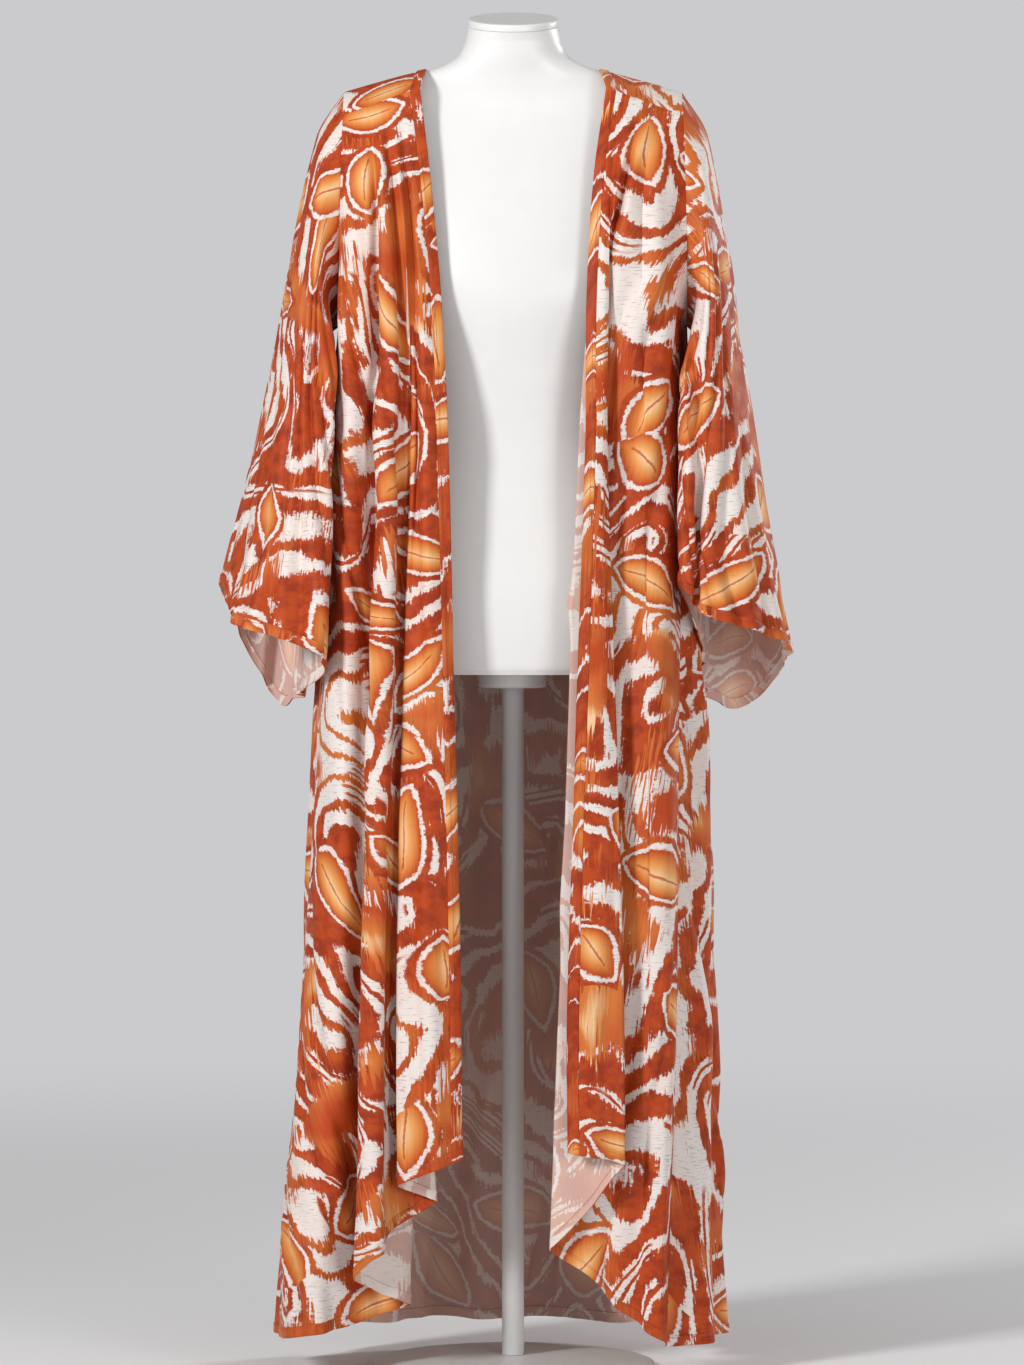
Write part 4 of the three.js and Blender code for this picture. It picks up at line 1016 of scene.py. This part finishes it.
def stitches(name, line, normal, lift=0.95, pitch=3.1, length=2.3, thick=0.26):
    """A row of short stitches on the cloth along a line of points."""
    run = lengths_along(line, 0)
    starts = np.arange(pitch, run[-1] - pitch, pitch)
    stops = np.linspace(0, 1, 4)
    verts, faces = [], []
    for start in starts:
        at = start + stops * length
        p = np.stack([np.interp(at, run, line[:, k]) for k in range(3)], axis=-1)
        m = np.stack([np.interp(at, run, normal[:, k]) for k in range(3)], axis=-1)
        m = m / np.linalg.norm(m, axis=1, keepdims=True)
        way = p[-1] - p[0]
        way = way / np.linalg.norm(way)
        aside = np.cross(way, m)
        rise = lift + 0.08 * np.sin(stops * math.pi)
        slim = thick * np.array([0.45, 1, 1, 0.45])
        first = len(verts)
        for k in range(4):
            for j in range(6):
                turn = j / 6 * 2 * math.pi
                offset = aside[k] * math.cos(turn) + m[k] * math.sin(turn)
                verts.append((p[k] + m[k] * rise[k] + offset * slim[k]) / 1000)
        for k in range(3):
            for j in range(6):
                c, d = first + k * 6 + j, first + k * 6 + (j + 1) % 6
                faces.append((c, d, d + 6, c + 6))
        faces.append(tuple(first + j for j in reversed(range(6))))
        faces.append(tuple(first + 18 + j for j in range(6)))
    add_piece(name, mesh_of(name, [tuple(v) for v in verts], faces, sewing))


for name, line, normal in stitch_lines:
    stitches(name, line, normal, 1.0 if name.startswith("front") else 0.95)


# Dress form and stand
form_white = plastic("moulded white form", 240, 239, 237, 0.34)
stand_white = plastic("stand enamel", 228, 228, 226, 0.42)
NECK_CAP = dict(z=1524, half=51, depth=52, slope=0.22, thick=8)


def loft(name, rings, material, node):
    """A closed solid through rings of points in mm."""
    rings = np.asarray(rings)
    count, sides = rings.shape[:2]
    verts = (rings.reshape(-1, 3) / 1000).tolist()
    ends = [(rings[0].mean(axis=0) / 1000).tolist(), (rings[-1].mean(axis=0) / 1000).tolist()]
    faces = []
    for r in range(count - 1):
        for c in range(sides):
            d = (c + 1) % sides
            faces.append((r * sides + c, r * sides + d, (r + 1) * sides + d, (r + 1) * sides + c))
    low, high, last = len(verts), len(verts) + 1, (count - 1) * sides
    for c in range(sides):
        d = (c + 1) % sides
        faces.append((low, d, c))
        faces.append((high, last + c, last + d))
    mesh = mesh_of(name, verts + ends, faces, material)
    mesh.set_sharp_from_angle(angle=math.radians(50))
    add_piece(name, mesh, node)


def oval(z, half, front, behind, square, sides=160):
    turn = np.linspace(0, 2 * math.pi, sides, endpoint=False)
    c, s = np.cos(turn), np.sin(turn)
    x = half * np.sign(c) * np.abs(c) ** (2 / square)
    y = np.where(s > 0, behind, front) * np.sign(s) * np.abs(s) ** (2 / square)
    return stack(x, y, z)


def neck_ring(lift, inset, sides=160):
    turn = np.linspace(0, 2 * math.pi, sides, endpoint=False)
    x, y = (NECK_CAP["half"] - inset) * np.cos(turn), (NECK_CAP["depth"] - inset) * np.sin(turn)
    return stack(x, y, NECK_CAP["z"] + NECK_CAP["slope"] * y + lift)


heights = np.unique(np.concatenate([np.linspace(792, 1390, 90), np.linspace(1392, 1496, 70)]))
sections = [column(FORM_SECTIONS, k) for k in range(5)]
body_rings = [oval(z, *(curve(sections[0], section, z) for section in sections[1:])) for z in heights]
z, half, front_depth, back_depth, square = FORM_SECTIONS[0]
FOOT_ROUND, FOOT_SHARE, FOOT_GROWTH = 6, 0.962, 0.038
foot = []
for angle in np.linspace(0, math.pi / 2, 7)[:-1]:
    grow = FOOT_SHARE + FOOT_GROWTH * math.sin(angle)
    at = z - FOOT_ROUND + FOOT_ROUND * math.sin(angle)
    foot.append(oval(at, half * grow, front_depth * grow, back_depth * grow, square))
top_ring = neck_ring(-NECK_CAP["thick"] - 0.3, 0)
neck_rings = [mix(body_rings[-1], top_ring, t) for t in np.linspace(0, 1, 14)[1:-1]]
neck_lip = []
for angle in np.linspace(0, math.pi / 2, 5):
    neck_lip.append(neck_ring(-NECK_CAP["thick"] - 0.7 + 0.4 * math.sin(angle), 0.6 * (1 - math.cos(angle))))
torso_rings = foot + body_rings + neck_rings + neck_lip
loft("form_torso_shell", torso_rings, form_white, "form_torso")
lip = 2.4
cap_foot = ((0, 0.7), (0.3, 0.2), (0.8, 0))
cap_rings = [neck_ring(-NECK_CAP["thick"] + lift, inset) for lift, inset in cap_foot]
for angle in np.linspace(0, math.pi / 2, 9):
    cap_rings.append(neck_ring(-lip * (1 - math.sin(angle)), lip * (1 - math.cos(angle))))
cap_rings += [neck_ring(0, inset) for inset in (6, 14, 26, 40)]
loft("form_neck_cap_shell", cap_rings, form_white, "form_neck_cap")


def turned(name, profile, sides=96):
    """A piece of the stand, round in plan, through (radius, height) rows."""
    turn = np.linspace(0, 2 * math.pi, sides, endpoint=False)
    loft(name, [stack(r * np.cos(turn), r * np.sin(turn), z) for r, z in profile], stand_white, name)


quarter = np.linspace(0, math.pi / 2, 7)
COLLAR_TOP, BASE_TOP = 785.7, 14
collar_foot = COLLAR_TOP - 16
pole_top = collar_foot - 0.3
lower_edge = [(32 + 6 * math.sin(a), collar_foot + 4 * (1 - math.cos(a))) for a in quarter[1:]]
upper_edge = [(38 - 0.8 * (1 - math.cos(a)), COLLAR_TOP - 0.8 + 0.8 * math.sin(a)) for a in quarter]
turned("stand_collar", [(32, collar_foot), *lower_edge, *upper_edge])
pole_foot = [(12, BASE_TOP + 0.3), (12.5, BASE_TOP + 0.8)]
turned("stand_pole", [*pole_foot, (12.5, 300), (12.5, 540), (12.5, pole_top - 0.5), (12, pole_top)], 64)
dome = [(160 - 120 * (1 - math.cos(a)), 5 + 9 * math.sin(a)) for a in np.linspace(0, math.pi / 2, 25)]
turned("stand_base", [(158.5, 0), (159.6, 0.5), (160, 1.4), *dome], 160)


# Studio
BACKDROP = colour(203, 203, 205)
FLOOR_REACH = 60
FADE_NEAR, FADE_FAR = 0.7, 4.2


def studio_floor():
    """Pale paper near the object that fades into the even backdrop further out."""
    g = Graph("studio floor")
    place = g.node("ShaderNodeNewGeometry")
    away = g.node("ShaderNodeVectorMath", 1, {"operation": "LENGTH"}, i0=place)
    fade = g.span(away, FADE_NEAR, FADE_FAR)
    paper = g.blend(g.noise(place, 1.4, 1.0), colour(240, 240, 241), colour(244, 244, 245))
    tint = g.blend(fade, paper, (0.0, 0.0, 0.0))
    grain = g.bump(g.noise(place, 260.0, 2.0), 0.04, 0.0005)
    glow = {"Emission_Color": (*BACKDROP, 1), "Emission_Strength": fade, "Specular_IOR_Level": 0.0}
    return g.surface(tint, 0.9, grain, **glow)


corners = [(-1, -1), (1, -1), (1, 1), (-1, 1)]
floor_corners = [(x * FLOOR_REACH, y * FLOOR_REACH, 0) for x, y in corners]
floor = linked("floor", mesh_of("floor", floor_corners, [(0, 1, 2, 3)], studio_floor()))


def studio_world(light, strength):
    """Soft light from all round, in front of an even backdrop."""
    world = bpy.data.worlds.new("studio")
    world.use_nodes = True
    nodes, links = world.node_tree.nodes, world.node_tree.links
    nodes.clear()
    shown, lit = nodes.new("ShaderNodeBackground"), nodes.new("ShaderNodeBackground")
    shown.inputs[0].default_value = (*BACKDROP, 1)
    lit.inputs[0].default_value = (*light, 1)
    lit.inputs[1].default_value = strength
    either = nodes.new("ShaderNodeMixShader")
    links.new(nodes.new("ShaderNodeLightPath").outputs["Is Camera Ray"], either.inputs[0])
    links.new(lit.outputs[0], either.inputs[1])
    links.new(shown.outputs[0], either.inputs[2])
    links.new(either.outputs[0], nodes.new("ShaderNodeOutputWorld").inputs[0])
    return world


def lamp(name, place, target, width, height, power):
    light = bpy.data.lights.new(name, "AREA")
    light.shape, light.size, light.size_y, light.energy = "RECTANGLE", width, height, power
    obj = linked(name, light)
    obj.location = place
    way = Vector(target) - Vector(place)
    obj.rotation_euler = way.to_track_quat("-Z", "Y").to_euler()


lamp("key", (-3.3, -3.5, 2.8), (0, 0, 0.85), 0.8, 1.4, 168)
lamp("fill", (2.6, -4.2, 1.3), (0, 0, 0.8), 1.4, 2.0, 56)
lamp("top", (0.2, -0.8, 3.9), (0, 0.1, 0.8), 2.4, 1.6, 18)
lamp("back", (3.7, 2.5, 2.5), (0, 0, 0.9), 0.8, 1.6, 84)
bpy.context.scene.world = studio_world((0.88, 0.89, 0.90), 0.18)

camera_data = bpy.data.cameras.new("camera")
camera = linked("camera", camera_data)
EYE = Vector((-0.0011, -7.0, 0.950))
AIM = Vector((-0.0011, 0.0, 0.7756))
camera.location = EYE
camera.rotation_euler = (AIM - EYE).to_track_quat("-Z", "Y").to_euler()
camera_data.sensor_fit = "VERTICAL"
camera_data.sensor_height = 36
camera_data.lens = 36 / 2 * (AIM - EYE).length / 0.7712
bpy.context.scene.camera = camera
bpy.context.scene.view_settings.view_transform = "Standard"
